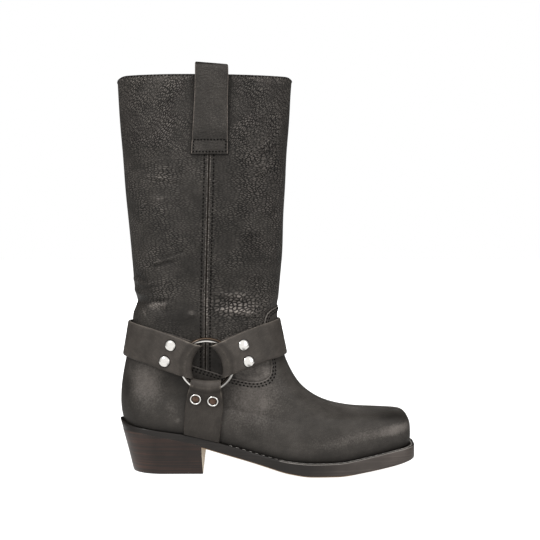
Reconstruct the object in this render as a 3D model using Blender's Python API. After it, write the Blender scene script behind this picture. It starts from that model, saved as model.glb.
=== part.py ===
"""Pull-on harness boot for the right foot, modelled piece by piece.

The toe points along +X, the outer side of the foot faces -Y and the floor is z = 0.
Every size below is in millimetres, measured from the back of the sole and from the floor;
meshes are written in metres. The last step stands the boot over the origin.
"""
import math

import bmesh
import bpy
import numpy as np
from mathutils import Matrix, Vector
from mathutils.bvhtree import BVHTree

MM = 0.001

# Driving sizes
SOLE_LENGTH = 280.0
GAP = 0.3                 # left between pieces that meet
REST = 0.5                # lasted edge of the upper above the welt
WALL = 2.2                # leather and lining of the upper
VAMP_STEP = 1.2           # vamp and counter lapped over the shaft
WELT_THICK, WELT_WIDTH = 3.0, 12.0
INSOLE_RISE = 1.8         # insole above the welt
INSOLE_FLANGE = 10.4      # from the edge of the sole to the edge of the insole
SOLE_ROLL, SOLE_LIFT = 7.0, 1.2   # edge of the outsole's underside lifts off the floor
HEEL_BACK_RAKE = 10.0     # heel bottom stands this far in at the back
HEEL_SIDE_RAKE = 3.2
HEEL_CHAMFER = 0.7
STRAP_THICK = 2.4
LAY = VAMP_STEP + 1.1     # from the shaft's surface to the underside of a strap
RING_RADIUS, WIRE_RADIUS = 23.0, 2.4
RING_X, RING_Z = 82.7, 106.5
RING_STAND = 8.0          # from the shaft's surface to the middle of the wire
FOLD_HALF = {"back": 15.6, "front": 15.6, "side": 13.8}   # half width of a strap in its fold
FOLD_SLACK = 1.8          # fold stands this far off the wire at its ends,
FOLD_SAG = {"back": 1.0, "front": 1.0, "side": 3.0}   # and this much more in its middle
RIVET_RADIUS, RIVET_HEIGHT, RIVET_SPREAD = 5.2, 2.7, 8.2
RIVET_FLAT = 5.6          # half the flat of the strap under a rivet, along the strap
LOOP_FOOT_X, LOOP_FOOT_Z, LOOP_FOOT_WIDTH = 85.2, 303.6, 33.6
LOOP_TOP_X, LOOP_TOP_Z, LOOP_TOP_WIDTH = 87.8, 389.0, 30.4
LOOP_THICK, LOOP_SPAN = 2.2, 7.0

# Resolution
UPPER_COLUMNS = 52
VAMP_ROWS, SHAFT_ROWS = 14, 9
PLATE_COLUMNS = 22        # stations along each side of a sole piece

# Outline of the sole: half widths, and how far inside it the lasted upper stands
PLAN = (
    # x, outer, inner, ledge
    (0.0, 30.5, 30.5, 1.6),
    (35.0, 32.0, 31.5, 1.8),
    (75.0, 31.5, 29.5, 2.4),
    (110.0, 34.0, 28.5, 3.4),
    (165.0, 48.0, 41.0, 4.2),
    (185.0, 50.0, 46.0, 4.2),
    (205.0, 48.5, 47.5, 4.2),
    (245.0, 37.5, 38.5, 4.6),
    (280.0, 27.0, 29.0, 4.6),
)
TOE_ROUND, TOE_POWER = 26.0, 4.0
HEEL_ROUND, HEEL_POWER = 31.0, 2.1

# Side view of the sole: top of the welt and bottom of the outsole
SOLE_LINE = (
    # x, top, bottom
    (0.0, 46.3, 38.4),
    (18.0, 44.6, 36.6),
    (38.0, 41.4, 32.8),
    (60.0, 38.2, 28.6),
    (79.0, 34.2, 23.9),
    (99.0, 28.9, 18.2),
    (135.0, 19.8, 8.7),
    (160.0, 14.8, 2.4),
    (180.0, 13.4, 0.0),
    (204.0, 13.8, 0.0),
    (232.0, 17.6, 3.0),
    (259.0, 22.8, 7.6),
    (280.0, 26.6, 12.8),
)

# Lines round the upper from the welt to the collar. Each runs from its back point to its
# front point; follow = how far it dips with the sole, full = share of the sole's width,
# shaft = how far the width is the shaft's own half width; nose and round are the lengths
# over which the line closes at the front and the back, with the power of each curve.
GIRTHS = (
    # front_x, front_z, back_x, back_z, follow, full, shaft, half, nose, nose_p, round, round_p
    (273.2, 0.0, 2.4, 0.0, 1.00, 0.955, 0.00, 37.0, 30.0, 4.2, 30.0, 2.1),       # welt
    (274.8, 34.0, -0.3, 55.0, 1.00, 1.000, 0.00, 37.0, 30.0, 4.2, 31.0, 2.1),    # bulge
    (274.6, 44.8, -1.2, 63.0, 1.00, 0.995, 0.00, 37.0, 31.0, 4.0, 32.0, 2.1),    # toe wall
    (272.8, 51.9, -1.3, 69.5, 0.97, 0.970, 0.02, 37.0, 33.0, 3.7, 32.0, 2.1),    # toe corner
    (267.6, 57.0, -1.1, 75.5, 0.93, 0.930, 0.04, 37.0, 36.0, 3.2, 33.0, 2.1),    # toe brow
    (256.0, 58.0, -0.6, 81.0, 0.88, 0.880, 0.07, 37.0, 44.0, 2.8, 33.0, 2.1),    # toe roof
    (236.0, 58.0, 0.0, 86.5, 0.82, 0.848, 0.12, 36.8, 58.0, 2.4, 34.0, 2.1),     # vamp point
    (214.0, 60.4, 0.8, 92.0, 0.74, 0.832, 0.18, 36.6, 68.0, 2.3, 35.0, 2.1),     # tread
    (195.3, 65.0, 1.8, 97.5, 0.65, 0.828, 0.27, 36.4, 70.0, 2.3, 37.0, 2.1),     # ball
    (181.5, 72.1, 2.7, 103.0, 0.54, 0.835, 0.38, 36.2, 66.0, 2.3, 40.0, 2.1),    # vamp
    (169.8, 81.3, 4.0, 109.5, 0.42, 0.870, 0.52, 36.2, 62.0, 2.3, 44.0, 2.1),    # instep
    (160.5, 95.8, 6.0, 118.0, 0.29, 0.910, 0.68, 36.3, 62.0, 2.2, 50.0, 2.1),    # high instep
    (154.1, 110.7, 7.9, 127.0, 0.17, 0.960, 0.84, 36.5, 64.0, 2.2, 56.0, 2.1),   # throat
    (149.9, 129.0, 9.4, 138.0, 0.06, 1.000, 0.95, 36.8, 67.0, 2.15, 62.0, 2.1),  # strap line
    (146.8, 149.0, 10.2, 150.5, 0.0, 1.000, 1.00, 37.2, 68.0, 2.1, 67.0, 2.1),   # ankle
    (148.9, 163.0, 13.8, 163.0, 0.0, 1.000, 1.00, 37.7, 67.0, 2.1, 67.0, 2.1),   # ankle fold
    (150.6, 178.0, 11.5, 178.0, 0.0, 1.000, 1.00, 38.7, 69.0, 2.1, 69.0, 2.1),   # low calf
    (152.9, 206.0, 9.3, 206.0, 0.0, 1.000, 1.00, 40.4, 71.0, 2.1, 71.0, 2.1),    # calf
    (154.5, 245.0, 5.5, 245.0, 0.0, 1.000, 1.00, 41.6, 74.0, 2.1, 74.0, 2.1),    # mid calf
    (157.5, 302.0, 1.1, 302.0, 0.0, 1.000, 1.00, 41.0, 78.0, 2.1, 78.0, 2.1),    # high calf
    (160.6, 346.0, -2.0, 346.0, 0.0, 1.000, 1.00, 39.6, 81.0, 2.1, 81.0, 2.1),   # top
    (162.3, 375.6, -4.2, 375.6, 0.0, 1.000, 1.00, 38.6, 83.0, 2.1, 83.0, 2.1),   # collar
)

# Edge of vamp and counter in the side view, from the back up to the tongue
VAMP_EDGE = (
    # x, z
    (4.0, 130.0),
    (40.0, 115.0),
    (67.5, 104.8),
    (92.0, 97.0),
    (106.0, 92.2),
    (120.0, 89.2),
    (129.0, 88.3),
    (136.0, 89.8),
    (140.4, 92.4),
    (142.2, 97.4),
    (142.4, 107.0),
    (138.4, 125.0),
    (135.2, 141.0),
    (136.4, 149.0),
    (139.8, 154.8),
    (152.0, 160.0),
)

# Edges of the straps in the side view: height at x = 0, slope, and rise of their bow
STRAP_EDGES = {
    # strap: (upper height, upper slope, lower height, lower slope, bow)
    "back": (145.8, -0.240, 112.2, -0.281, 1.0),
    "front": (97.9, 0.322, 62.4, 0.322, 2.0),
}
STRAP_SPAN = {"back": -80.0, "front": 70.0}     # from the ring to the far end, along x
# Side strap: the rear and front edge at four heights
SIDE_STRAP = (
    # z, rear x, front x
    (118.0, 67.0, 99.0),
    (92.5, 66.4, 97.3),
    (66.7, 61.6, 96.9),
    (30.0, 59.6, 93.4),
)
RIVET_ROWS = {"back": 36.7, "front": 35.7, "side": 33.9}   # rivets from the ring's middle
RIVET_SHIFT = {"back": -0.2, "front": -2.9, "side": 0.0}   # off the middle of the strap
RIVET_LEAN = {"back": 1.0, "front": 0.3, "side": 0.0}      # first rivet nearer the ring


def smooth_curve(xs, ys):
    """Function through the given points that never overshoots them."""
    xs, ys = np.asarray(xs, float), np.asarray(ys, float)
    run, slope = np.diff(xs), np.diff(ys) / np.diff(xs)
    tangent = np.zeros_like(ys)
    tangent[0], tangent[-1] = slope[0], slope[-1]
    for i in range(1, len(xs) - 1):
        if slope[i - 1] * slope[i] > 0:
            a, b = 2 * run[i] + run[i - 1], run[i] + 2 * run[i - 1]
            tangent[i] = (a + b) / (a / slope[i - 1] + b / slope[i])

    def value(x):
        x = np.clip(x, xs[0], xs[-1])
        i = np.clip(np.searchsorted(xs, x) - 1, 0, len(run) - 1)
        f = (x - xs[i]) / run[i]
        return (ys[i] * (1 + 2 * f) * (1 - f) ** 2 + ys[i + 1] * f * f * (3 - 2 * f)
                + run[i] * f * (1 - f) * (tangent[i] * (1 - f) - tangent[i + 1] * f))

    return value


plan = np.array(PLAN)
half_outer, half_inner, ledge = (smooth_curve(plan[:, 0], plan[:, i]) for i in (1, 2, 3))
line = np.array(SOLE_LINE)
sole_top, sole_bottom = (smooth_curve(line[:, 0], line[:, i]) for i in (1, 2))

rows = np.array(GIRTHS)
for end_x, end_z in ((0, 1), (2, 3)):
    rows[0, end_z] = sole_top(rows[0, end_x]) + REST
girth = [smooth_curve(np.arange(len(rows)), rows[:, i]) for i in range(rows.shape[1])]
LAST_ROW = len(rows) - 1.0


def closing(distance, length, power):
    """Share of the full width at a distance from the end of a rounded outline."""
    q = 1 - np.clip(distance / length, 0, 1)
    return (1 - q ** power) ** (1 / power)


def upper_point(u, t):
    """Surface of the upper under the vamp: u runs 0 at the back, 1 at the front, 2 at the
    back again along the inner side; t runs from 0 at the welt to LAST_ROW at the collar."""
    u, t = np.broadcast_arrays(np.mod(u, 2.0), np.asarray(t, float))
    inner = u > 1
    s = (1 - np.cos(np.pi * np.where(inner, 2 - u, u))) / 2
    (front_x, front_z, back_x, back_z, follow, full, shaft, half,
     nose, nose_p, heel, heel_p) = (column(t) for column in girth)
    x = back_x + (front_x - back_x) * s
    first = back0 + (front0 - back0) * s
    dip = sole_top(first) + REST - (back_z0 + (front_z0 - back_z0) * s)
    z = back_z + (front_z - back_z) * s + follow * dip
    foot = (np.where(inner, half_inner(x), half_outer(x)) - ledge(x)) * full
    width = foot * (1 - shaft) + half * shaft
    width = width * closing(x - back_x, heel, heel_p) * closing(front_x - x, nose, nose_p)
    return np.stack([x, np.where(inner, width, -width), z], axis=-1)


front0, front_z0, back0, back_z0 = rows[0, :4]


def upper_normal(u, t, step=2e-3):
    """Unit normal of the upper, pointing out."""
    around = upper_point(u + step, t) - upper_point(u - step, t)
    low, high = np.clip(t - 0.05, 0, LAST_ROW), np.clip(t + 0.05, 0, LAST_ROW)
    up = upper_point(u, high) - upper_point(u, low)
    n = np.cross(around, up)
    return n / np.linalg.norm(n, axis=-1, keepdims=True)


def row_on_line(u, line_z):
    """Row t at which each column u meets a line of the side view, given as z of x."""
    ts = np.linspace(0, LAST_ROW, 500)
    points = upper_point(np.asarray(u)[:, None], ts[None, :])
    over = points[..., 2] - line_z(points[..., 0])
    at = np.argmax(over > 0, axis=1)
    pick = np.arange(len(at))
    a, b = over[pick, at - 1], over[pick, at]
    return ts[at - 1] + (ts[at] - ts[at - 1]) * a / (a - b)


def point_on_side(x, z, inner):
    """(u, t) of the upper at a place of the side view."""
    ts = np.linspace(0, LAST_ROW, 800)
    back_x, front_x = girth[2](ts), girth[0](ts)
    s = np.clip((x - back_x) / (front_x - back_x), 0, 1)
    u = np.arccos(1 - 2 * s) / np.pi
    over = upper_point(u, ts)[:, 2] - z
    at = int(np.argmax(over > 0))
    f = over[at - 1] / (over[at - 1] - over[at])
    u, t = u[at - 1] + (u[at] - u[at - 1]) * f, ts[at - 1] + (ts[at] - ts[at - 1]) * f
    return (2 - u if inner else u), t


def vamp_rows(us):
    """Row t at which each column of the upper crosses the edge of vamp and counter."""
    ts = np.linspace(0, LAST_ROW, 700)
    points = upper_point(us[:, None], ts[None, :])
    x, z = points[..., 0], points[..., 2]
    edge = np.array(VAMP_EDGE + ((300.0, 160.0), (300.0, -50.0), (-50.0, -50.0), (-50.0, 130.0)))
    inside = np.zeros(x.shape, bool)
    for (xa, za), (xb, zb) in zip(edge, np.roll(edge, -1, axis=0)):
        if za != zb:
            crossing = xa + (z - za) / (zb - za) * (xb - xa)
            inside ^= ((za > z) != (zb > z)) & (x < crossing)
    last = x.shape[1] - 1 - np.argmax(inside[:, ::-1], axis=1)
    return ts[last]


def collection(name, hidden=False):
    group = bpy.data.collections.new(name)
    bpy.context.scene.collection.children.link(group)
    group.hide_render = hidden
    return group


def material(name, colour, roughness, metallic=0.0):
    mat = bpy.data.materials.new(name)
    mat.use_nodes = True
    shader = mat.node_tree.nodes["Principled BSDF"]
    shader.inputs["Base Color"].default_value = (*colour, 1.0)
    shader.inputs["Roughness"].default_value = roughness
    shader.inputs["Metallic"].default_value = metallic
    return mat


def place(name, mesh, group, mat):
    piece = bpy.data.objects.new(name, mesh)
    group.objects.link(piece)
    mesh.materials.append(mat)
    return piece


def lofted(name, rings, group, mat, closed=False):
    """Solid skinned over rings of points. Closed joins the last ring to the first; an open
    run is capped across each end ring, point i to the point opposite it."""
    form = bmesh.new()
    loops = [[form.verts.new(Vector(p) * MM) for p in ring] for ring in rings]
    count = len(loops[0])
    for one, two in zip(loops, loops[1:] + loops[:1]) if closed else zip(loops, loops[1:]):
        for i in range(count):
            j = (i + 1) % count
            form.faces.new((one[i], one[j], two[j], two[i]))
    if not closed:
        for loop in (loops[0], loops[-1]):
            for i in range(count // 2 - 1):
                form.faces.new((loop[i], loop[i + 1], loop[count - 2 - i], loop[count - 1 - i]))
    bmesh.ops.recalc_face_normals(form, faces=form.faces)
    mesh = bpy.data.meshes.new(name)
    form.to_mesh(mesh)
    form.free()
    return place(name, mesh, group, mat)


def sole_ring(inset, height):
    """Outline of the sole drawn in by inset, at a height given as a function of x."""
    s = (1 - np.cos(np.pi * (np.arange(PLATE_COLUMNS) + 0.4) / (PLATE_COLUMNS - 0.2))) / 2
    x = inset + (SOLE_LENGTH - 2 * inset) * s
    ends = (closing(x - inset, HEEL_ROUND - inset, HEEL_POWER)
            * closing(SOLE_LENGTH - inset - x, max(TOE_ROUND - inset, 8.0), TOE_POWER))
    z = height(x)
    outer = np.stack([x, -(half_outer(x) - inset) * ends, z], axis=-1)
    inner = np.stack([x, (half_inner(x) - inset) * ends, z], axis=-1)
    return np.concatenate([outer, inner[::-1]])


def build_upper(group, mat):
    """Hollow lasted shell with the vamp and counter as a step in its wall."""
    us = np.arange(UPPER_COLUMNS) * 2.0 / UPPER_COLUMNS
    edge = vamp_rows(us)
    foot = edge[:, None] * np.linspace(0, 1, VAMP_ROWS + 1)
    shaft = edge[:, None] + (LAST_ROW - edge[:, None]) * np.linspace(0, 1, SHAFT_ROWS + 1) ** 1.15

    def offset(ts, amount):
        columns = np.broadcast_to(us[:, None], ts.shape)
        n = upper_normal(columns, ts)
        n[ts <= 0, 2] = 0.0
        n /= np.linalg.norm(n, axis=-1, keepdims=True)
        return upper_point(columns, ts) + n * amount

    outside = np.concatenate([offset(foot, VAMP_STEP), offset(shaft, 0.0)], axis=1)
    inside = offset(np.concatenate([foot, shaft[:, 1:]], axis=1), -WALL)
    rings = np.concatenate([outside, inside[:, ::-1]], axis=1)
    return lofted("upper", rings, group, mat, closed=True)


def build_sole(group, mats):
    """Insole, welt, outsole and stacked heel."""
    def under_welt(x):
        return sole_top(x) - WELT_THICK

    def outsole_top(x):
        return under_welt(x) - GAP

    welt = [sole_ring(0.4, under_welt), sole_ring(0.0, lambda x: under_welt(x) + 0.5),
            sole_ring(0.0, lambda x: sole_top(x) - 0.5), sole_ring(0.5, sole_top),
            sole_ring(WELT_WIDTH, sole_top), sole_ring(WELT_WIDTH, under_welt)]
    lofted("welt", np.swapaxes(np.array(welt), 0, 1), group, mats["welt"], closed=True)

    core = WELT_WIDTH + GAP
    insole = [sole_ring(core, lambda x: outsole_top(x) + GAP),
              sole_ring(core, lambda x: sole_top(x) + GAP),
              sole_ring(INSOLE_FLANGE, lambda x: sole_top(x) + GAP),
              sole_ring(INSOLE_FLANGE + 0.4, lambda x: sole_top(x) + INSOLE_RISE)]
    lofted("insole", insole, group, mats["insole"])

    outsole = [sole_ring(SOLE_ROLL, sole_bottom),
               sole_ring(SOLE_ROLL * 0.45, lambda x: sole_bottom(x) + SOLE_LIFT * 0.3),
               sole_ring(0.0, lambda x: sole_bottom(x) + SOLE_LIFT),
               sole_ring(0.0, lambda x: outsole_top(x) - 0.5),
               sole_ring(0.4, outsole_top)]
    lofted("outsole", outsole, group, mats["outsole"])

    def heel_ring(down, inset=0.0):
        """Heel outline, down = 0 under the sole and 1 on the floor."""
        turn = np.pi / 2 * (np.arange(12) + 0.35) / 11.35
        back = HEEL_BACK_RAKE * down + inset
        sides = []
        for side, half, breast_top, breast_low in ((-1, half_outer, 76.6, 78.0),
                                                   (1, half_inner, 80.4, 77.0)):
            breast = breast_top + (breast_low - breast_top) * down - inset
            s = 1 - np.cos(turn)
            x = back + (breast - back) * s
            y = half(x) - HEEL_SIDE_RAKE * down - inset
            y = y * closing(x - back, HEEL_ROUND - 0.15 * HEEL_BACK_RAKE * down, HEEL_POWER)
            z = (sole_bottom(x) - GAP) * (1 - down)
            sides.append(np.stack([x, side * y, z], axis=-1))
        return np.concatenate([sides[0], sides[1][::-1]])

    foot = heel_ring(1.0, HEEL_CHAMFER)
    rim = heel_ring(1.0)
    rim[:, 2] = HEEL_CHAMFER
    lofted("heel", [foot, rim, heel_ring(0.5), heel_ring(0.0)], group, mats["heel"])


def resampled(points, count):
    """The polyline with count points evenly along its length."""
    run = np.concatenate([[0], np.cumsum(np.linalg.norm(np.diff(points, axis=0), axis=1))])
    at = np.linspace(0, run[-1], count)
    return np.stack([np.interp(at, run, points[:, i]) for i in range(3)], axis=-1)


class Band:
    """A flat band laid over the upper between two edge curves. Places on it are given by
    the run along it, a share of the half width across it, and the height off the upper."""

    def __init__(self, one, two, skin):
        one, two = resampled(one, 121), resampled(two, 121)
        self.middle, self.half = (one + two) / 2, (one - two) / 2
        self.run = np.concatenate([[0], np.cumsum(
            np.linalg.norm(np.diff(self.middle, axis=0), axis=1))])
        along = np.gradient(self.middle, axis=0)
        self.normal = np.cross(self.half, along)
        self.normal /= np.linalg.norm(self.normal, axis=1, keepdims=True)
        out = self.middle - np.array([79.0, 0.0, 0.0])
        out[:, 2] = 0
        self.normal *= np.sign(np.sum(self.normal * out, axis=1))[:, None]
        lift = np.zeros(len(self.run))
        for i in range(len(self.run)):
            for v in (-0.7, -0.35, 0.0, 0.35, 0.7):
                p = self.middle[i] + v * self.half[i]
                hit = skin.find_nearest(Vector(p))
                away = Vector(p) - hit[0]
                if away.dot(Vector(self.normal[i])) < 0:
                    lift[i] = max(lift[i], away.length)
        smooth = np.convolve(np.pad(lift, 4, mode="edge"), np.ones(9) / 9, mode="valid")
        self.middle = self.middle + self.normal * np.maximum(lift, smooth)[:, None]

    def at(self, run, v, height):
        def pick(table):
            return np.array([np.interp(run, self.run, table[:, i]) for i in range(3)])
        normal = pick(self.normal)
        return pick(self.middle) + v * pick(self.half) + height * normal / np.linalg.norm(normal)

    def half_at(self, run):
        return float(np.interp(run, self.run, np.linalg.norm(self.half, axis=1)))


def wrap_band(name, skin):
    """Band of the back or front strap, from the outer ring round to the inner ring."""
    top, top_slope, low, low_slope, bow = STRAP_EDGES[name]
    slope = (top_slope + low_slope) / 2
    lean = slope / math.hypot(1, slope)
    half = (top - low + (top_slope - low_slope) * RING_X) / 2 * math.cos(math.atan(slope))
    edges = []
    for height, tilt, side in ((top, top_slope, 1), (low, low_slope, -1)):
        def edge_z(x):
            share = np.clip((x - RING_X) / STRAP_SPAN[name], 0, 1)
            return height + tilt * x + bow * np.sin(np.pi * share)
        us = np.linspace(-0.7, 0.7, 241) if name == "back" else np.linspace(0.3, 1.7, 241)
        points = upper_point(us, row_on_line(us, edge_z))
        start = RING_X - side * half * lean
        keep = points[:, 0] < start if name == "back" else points[:, 0] > start
        edges.append(points[keep])
    if name == "back":
        edges = [points[::-1] for points in edges]
    return Band(edges[0], edges[1], skin)


def side_band(inner, skin):
    """Band of the short strap from the ring down to the welt."""
    table = np.array(SIDE_STRAP)[::-1]
    edges = []
    for column in (1, 2):
        edge_x = smooth_curve(table[:, 0], table[:, column])
        low = sole_top(edge_x(38.0)) + 1.6
        points = []
        for z in np.linspace(RING_Z, low, 41):
            points.append(upper_point(*point_on_side(float(edge_x(z)), z, inner)))
        edges.append(np.array(points))
    return Band(edges[0], edges[1], skin)


def ring_frame(inner):
    """Middle of the ring's wire circle and the normal of its plane."""
    u, t = point_on_side(RING_X, RING_Z, inner)
    normal = upper_normal(u, t)
    return upper_point(u, t) + normal * RING_STAND, normal


def fold_path(band, run_of, ring, normal, kind, v):
    """Path of a strap end doubled round the ring, at a share v of the half width. Each
    station gives run and height of the face inside the fold, then of the face outside."""
    along = band.at(run_of(RING_RADIUS), 0, 0) - band.at(run_of(0), 0, 0)
    along -= normal * along.dot(normal)
    along /= np.linalg.norm(along)
    across = band.at(run_of(RING_RADIUS), 1, 0) - band.at(run_of(RING_RADIUS), -1, 0)
    across -= normal * across.dot(normal) + along * across.dot(along)
    across /= np.linalg.norm(across)
    near, far = WIRE_RADIUS + GAP, WIRE_RADIUS + GAP + STRAP_THICK
    rivets, sag = RIVET_ROWS[kind], FOLD_SAG[kind]

    def meet(run, short):
        """Run at which this line of the strap is that far short of the wire."""
        for _ in range(6):
            share = v * FOLD_HALF[kind] / band.half_at(run_of(run))
            here = band.at(run_of(run), share, 0)
            side = float((here - ring).dot(across))
            wire = ring + along * (math.sqrt(RING_RADIUS ** 2 - side ** 2) - short) + across * side
            run += float((wire - here).dot(along))
        return run, float((wire - here).dot(band.at(run_of(run), share, 1) - here))
    reach, stand = meet(RING_RADIUS, 0.0)
    bend = meet(reach, FOLD_SLACK + sag * (1 - v * v) + near)[0] + near
    stack = LAY + STRAP_THICK + GAP
    slope = 0.3 * (stand + near - stack)
    low = max(stand - far, LAY)

    def layer(run, height, thick=STRAP_THICK):
        return run, height, run, height + thick
    path = [layer(rivets + 7.5, LAY + STRAP_THICK, -STRAP_THICK),
            layer(rivets, LAY + STRAP_THICK, -STRAP_THICK),
            layer(rivets - 6, LAY + STRAP_THICK, -STRAP_THICK),
            layer(bend + 3.2, low + STRAP_THICK, -STRAP_THICK)]
    for angle in (-90, -135, 180, 135, 90):
        c, s = math.cos(math.radians(angle)), math.sin(math.radians(angle))
        path.append((bend + near * c, stand + near * s, bend + far * c, stand + far * s))
    path += [layer(max(bend, reach) + 1.6, stand + near),
             layer(rivets - RIVET_FLAT, stack + slope),
             layer(rivets + RIVET_FLAT, stack + 0.2),
             layer(rivets + 9, stack),
             layer(rivets + 17, LAY)]
    return path


def strap_rings(band, path_of, run_of, kind):
    """Cross sections of a strap: five places across it on each face."""
    faces = []
    for v in np.linspace(-1, 1, 5):
        one, two = [], []
        for run_in, height_in, run_out, height_out in path_of(v):
            for store, run, height in ((one, run_in, height_in), (two, run_out, height_out)):
                fold = FOLD_HALF[kind] / band.half_at(run_of(run))
                ease = np.clip((run - 17) / 11, 0, 1)
                share = fold + (1 - fold) * ease * ease * (3 - 2 * ease)
                store.append(band.at(run_of(run), v * share, height))
        faces.append((one, two))
    count = len(faces[0][0])
    return [[one[i] for one, two in faces] + [two[i] for one, two in faces[::-1]]
            for i in range(count)]


def rivet_mesh():
    """Domed rivet head turned about Z."""
    profile = bmesh.new()
    steps = 4
    points = [(0.0, 0.0), (RIVET_RADIUS, 0.0), (RIVET_RADIUS, 0.6)]
    for i in range(1, steps + 1):
        angle = math.pi / 2 * i / steps
        points.append((RIVET_RADIUS * math.cos(angle), 0.6 + (RIVET_HEIGHT - 0.6) * math.sin(angle)))
    points[-1] = (0.0, RIVET_HEIGHT)
    verts = [profile.verts.new((x * MM, 0.0, z * MM)) for x, z in points]
    for one, two in zip(verts, verts[1:]):
        profile.edges.new((one, two))
    mesh = bpy.data.meshes.new("rivet")
    bmesh.ops.spin(profile, geom=profile.verts[:] + profile.edges[:], axis=(0, 0, 1), cent=(0, 0, 0),
                   steps=14, angle=2 * math.pi, use_merge=True)
    bmesh.ops.remove_doubles(profile, verts=profile.verts, dist=1e-6)
    bmesh.ops.recalc_face_normals(profile, faces=profile.faces)
    profile.to_mesh(mesh)
    profile.free()
    return mesh


def rivet_seat(strap, spot, out):
    """Middle and normal of a rivet head standing on the face of a strap."""
    mesh = strap.data
    face = BVHTree.FromPolygons([v.co / MM for v in mesh.vertices], [p.vertices for p in mesh.polygons])
    one = out.orthogonal().normalized()
    two = out.cross(one)
    rim, inside = [], []
    for turn in np.linspace(0, 2 * np.pi, 24, endpoint=False):
        way = one * np.cos(turn) + two * np.sin(turn)
        for store, radius in ((rim, RIVET_RADIUS), (inside, 0.5 * RIVET_RADIUS)):
            store.append(face.ray_cast(spot + out * 9 + way * radius, -out)[0])
    middle = sum(rim, Vector()) / len(rim)
    normal = sum(((a - middle).cross(b - middle) for a, b in zip(rim, rim[1:] + rim[:1])), Vector())
    normal *= math.copysign(1 / normal.length, normal.dot(out))
    rise = max((p - middle).dot(normal) for p in rim + inside)
    return middle + normal * (rise + GAP), normal


def build_harness(group, mats):
    """Straps, rings and rivets on both sides."""
    us, ts = np.linspace(0, 2, 161), np.linspace(0, LAST_ROW, 150)
    points = upper_point(us[:, None], ts[None, :]).reshape(-1, 3)
    wide = len(ts)
    faces = [(i * wide + j, (i + 1) * wide + j, (i + 1) * wide + j + 1, i * wide + j + 1)
             for i in range(len(us) - 1) for j in range(wide - 1)]
    skin = BVHTree.FromPolygons([Vector(p) for p in points], faces)

    frames = {"outer": ring_frame(False), "inner": ring_frame(True)}
    for side, (middle, normal) in frames.items():
        bpy.ops.mesh.primitive_torus_add(major_radius=RING_RADIUS * MM, minor_radius=WIRE_RADIUS * MM,
                                         major_segments=28, minor_segments=8)
        ring = bpy.context.object
        ring.name = ring.data.name = "ring_" + side
        for holder in ring.users_collection:
            holder.objects.unlink(ring)
        group.objects.link(ring)
        turn = Vector((0, 0, 1)).rotation_difference(Vector(normal)).to_matrix().to_4x4()
        ring.data.transform(Matrix.Translation(Vector(middle) * MM) @ turn)
        ring.data.materials.append(mats["metal"])

    def rivets(name, strap, band, way, kind, labels):
        """Two rivet heads side by side on the end of a strap."""
        for label, sign in zip(labels, (1, -1)):
            run = way(RIVET_ROWS[kind] - sign * RIVET_LEAN[kind])
            v = (sign * RIVET_SPREAD + RIVET_SHIFT[kind]) / band.half_at(run)
            spot, lifted = Vector(band.at(run, v, LAY + STRAP_THICK)), Vector(band.at(run, v, LAY + 9))
            middle, normal = rivet_seat(strap, spot, (lifted - spot).normalized())
            turn = Vector((0, 0, 1)).rotation_difference(normal).to_matrix().to_4x4()
            piece = place(f"rivet_{name}_{label}", rivet_mesh(), group, mats["metal"])
            piece.data.transform(Matrix.Translation(middle * MM) @ turn)

    plain = (LAY, LAY + STRAP_THICK)
    for name in ("back", "front"):
        band = wrap_band(name, skin)
        length, row = band.run[-1], RIVET_ROWS[name]
        ends, ways = {}, {"outer": lambda run: run, "inner": lambda run: length - run}
        for side, way in ways.items():
            def path(v):
                return fold_path(band, way, *frames[side], name, v)
            ends[side] = strap_rings(band, path, way, name)
        runs = np.linspace(row + 17, length - row - 17, 13)[1:-1]
        middle = strap_rings(band, lambda v: [(run, plain[0], run, plain[1]) for run in runs],
                             lambda run: run, name)
        strap = lofted("strap_" + name, ends["outer"] + middle + ends["inner"][::-1], group, mats["strap"])
        for side, way in ways.items():
            rivets(f"{name}_{side}", strap, band, way, name, ("upper", "lower"))

    for side in ("outer", "inner"):
        band = side_band(side == "inner", skin)
        end = band.run[-1]

        def way(run):
            return run

        def path(v):
            tail = [(run, plain[0], run, plain[1]) for run in (end - 7, end)]
            return fold_path(band, way, *frames[side], "side", v) + tail
        strap = lofted("strap_side_" + side, strap_rings(band, path, way, "side"), group, mats["strap"])
        rivets(f"side_{side}", strap, band, way, "side", ("rear", "fore"))


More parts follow.
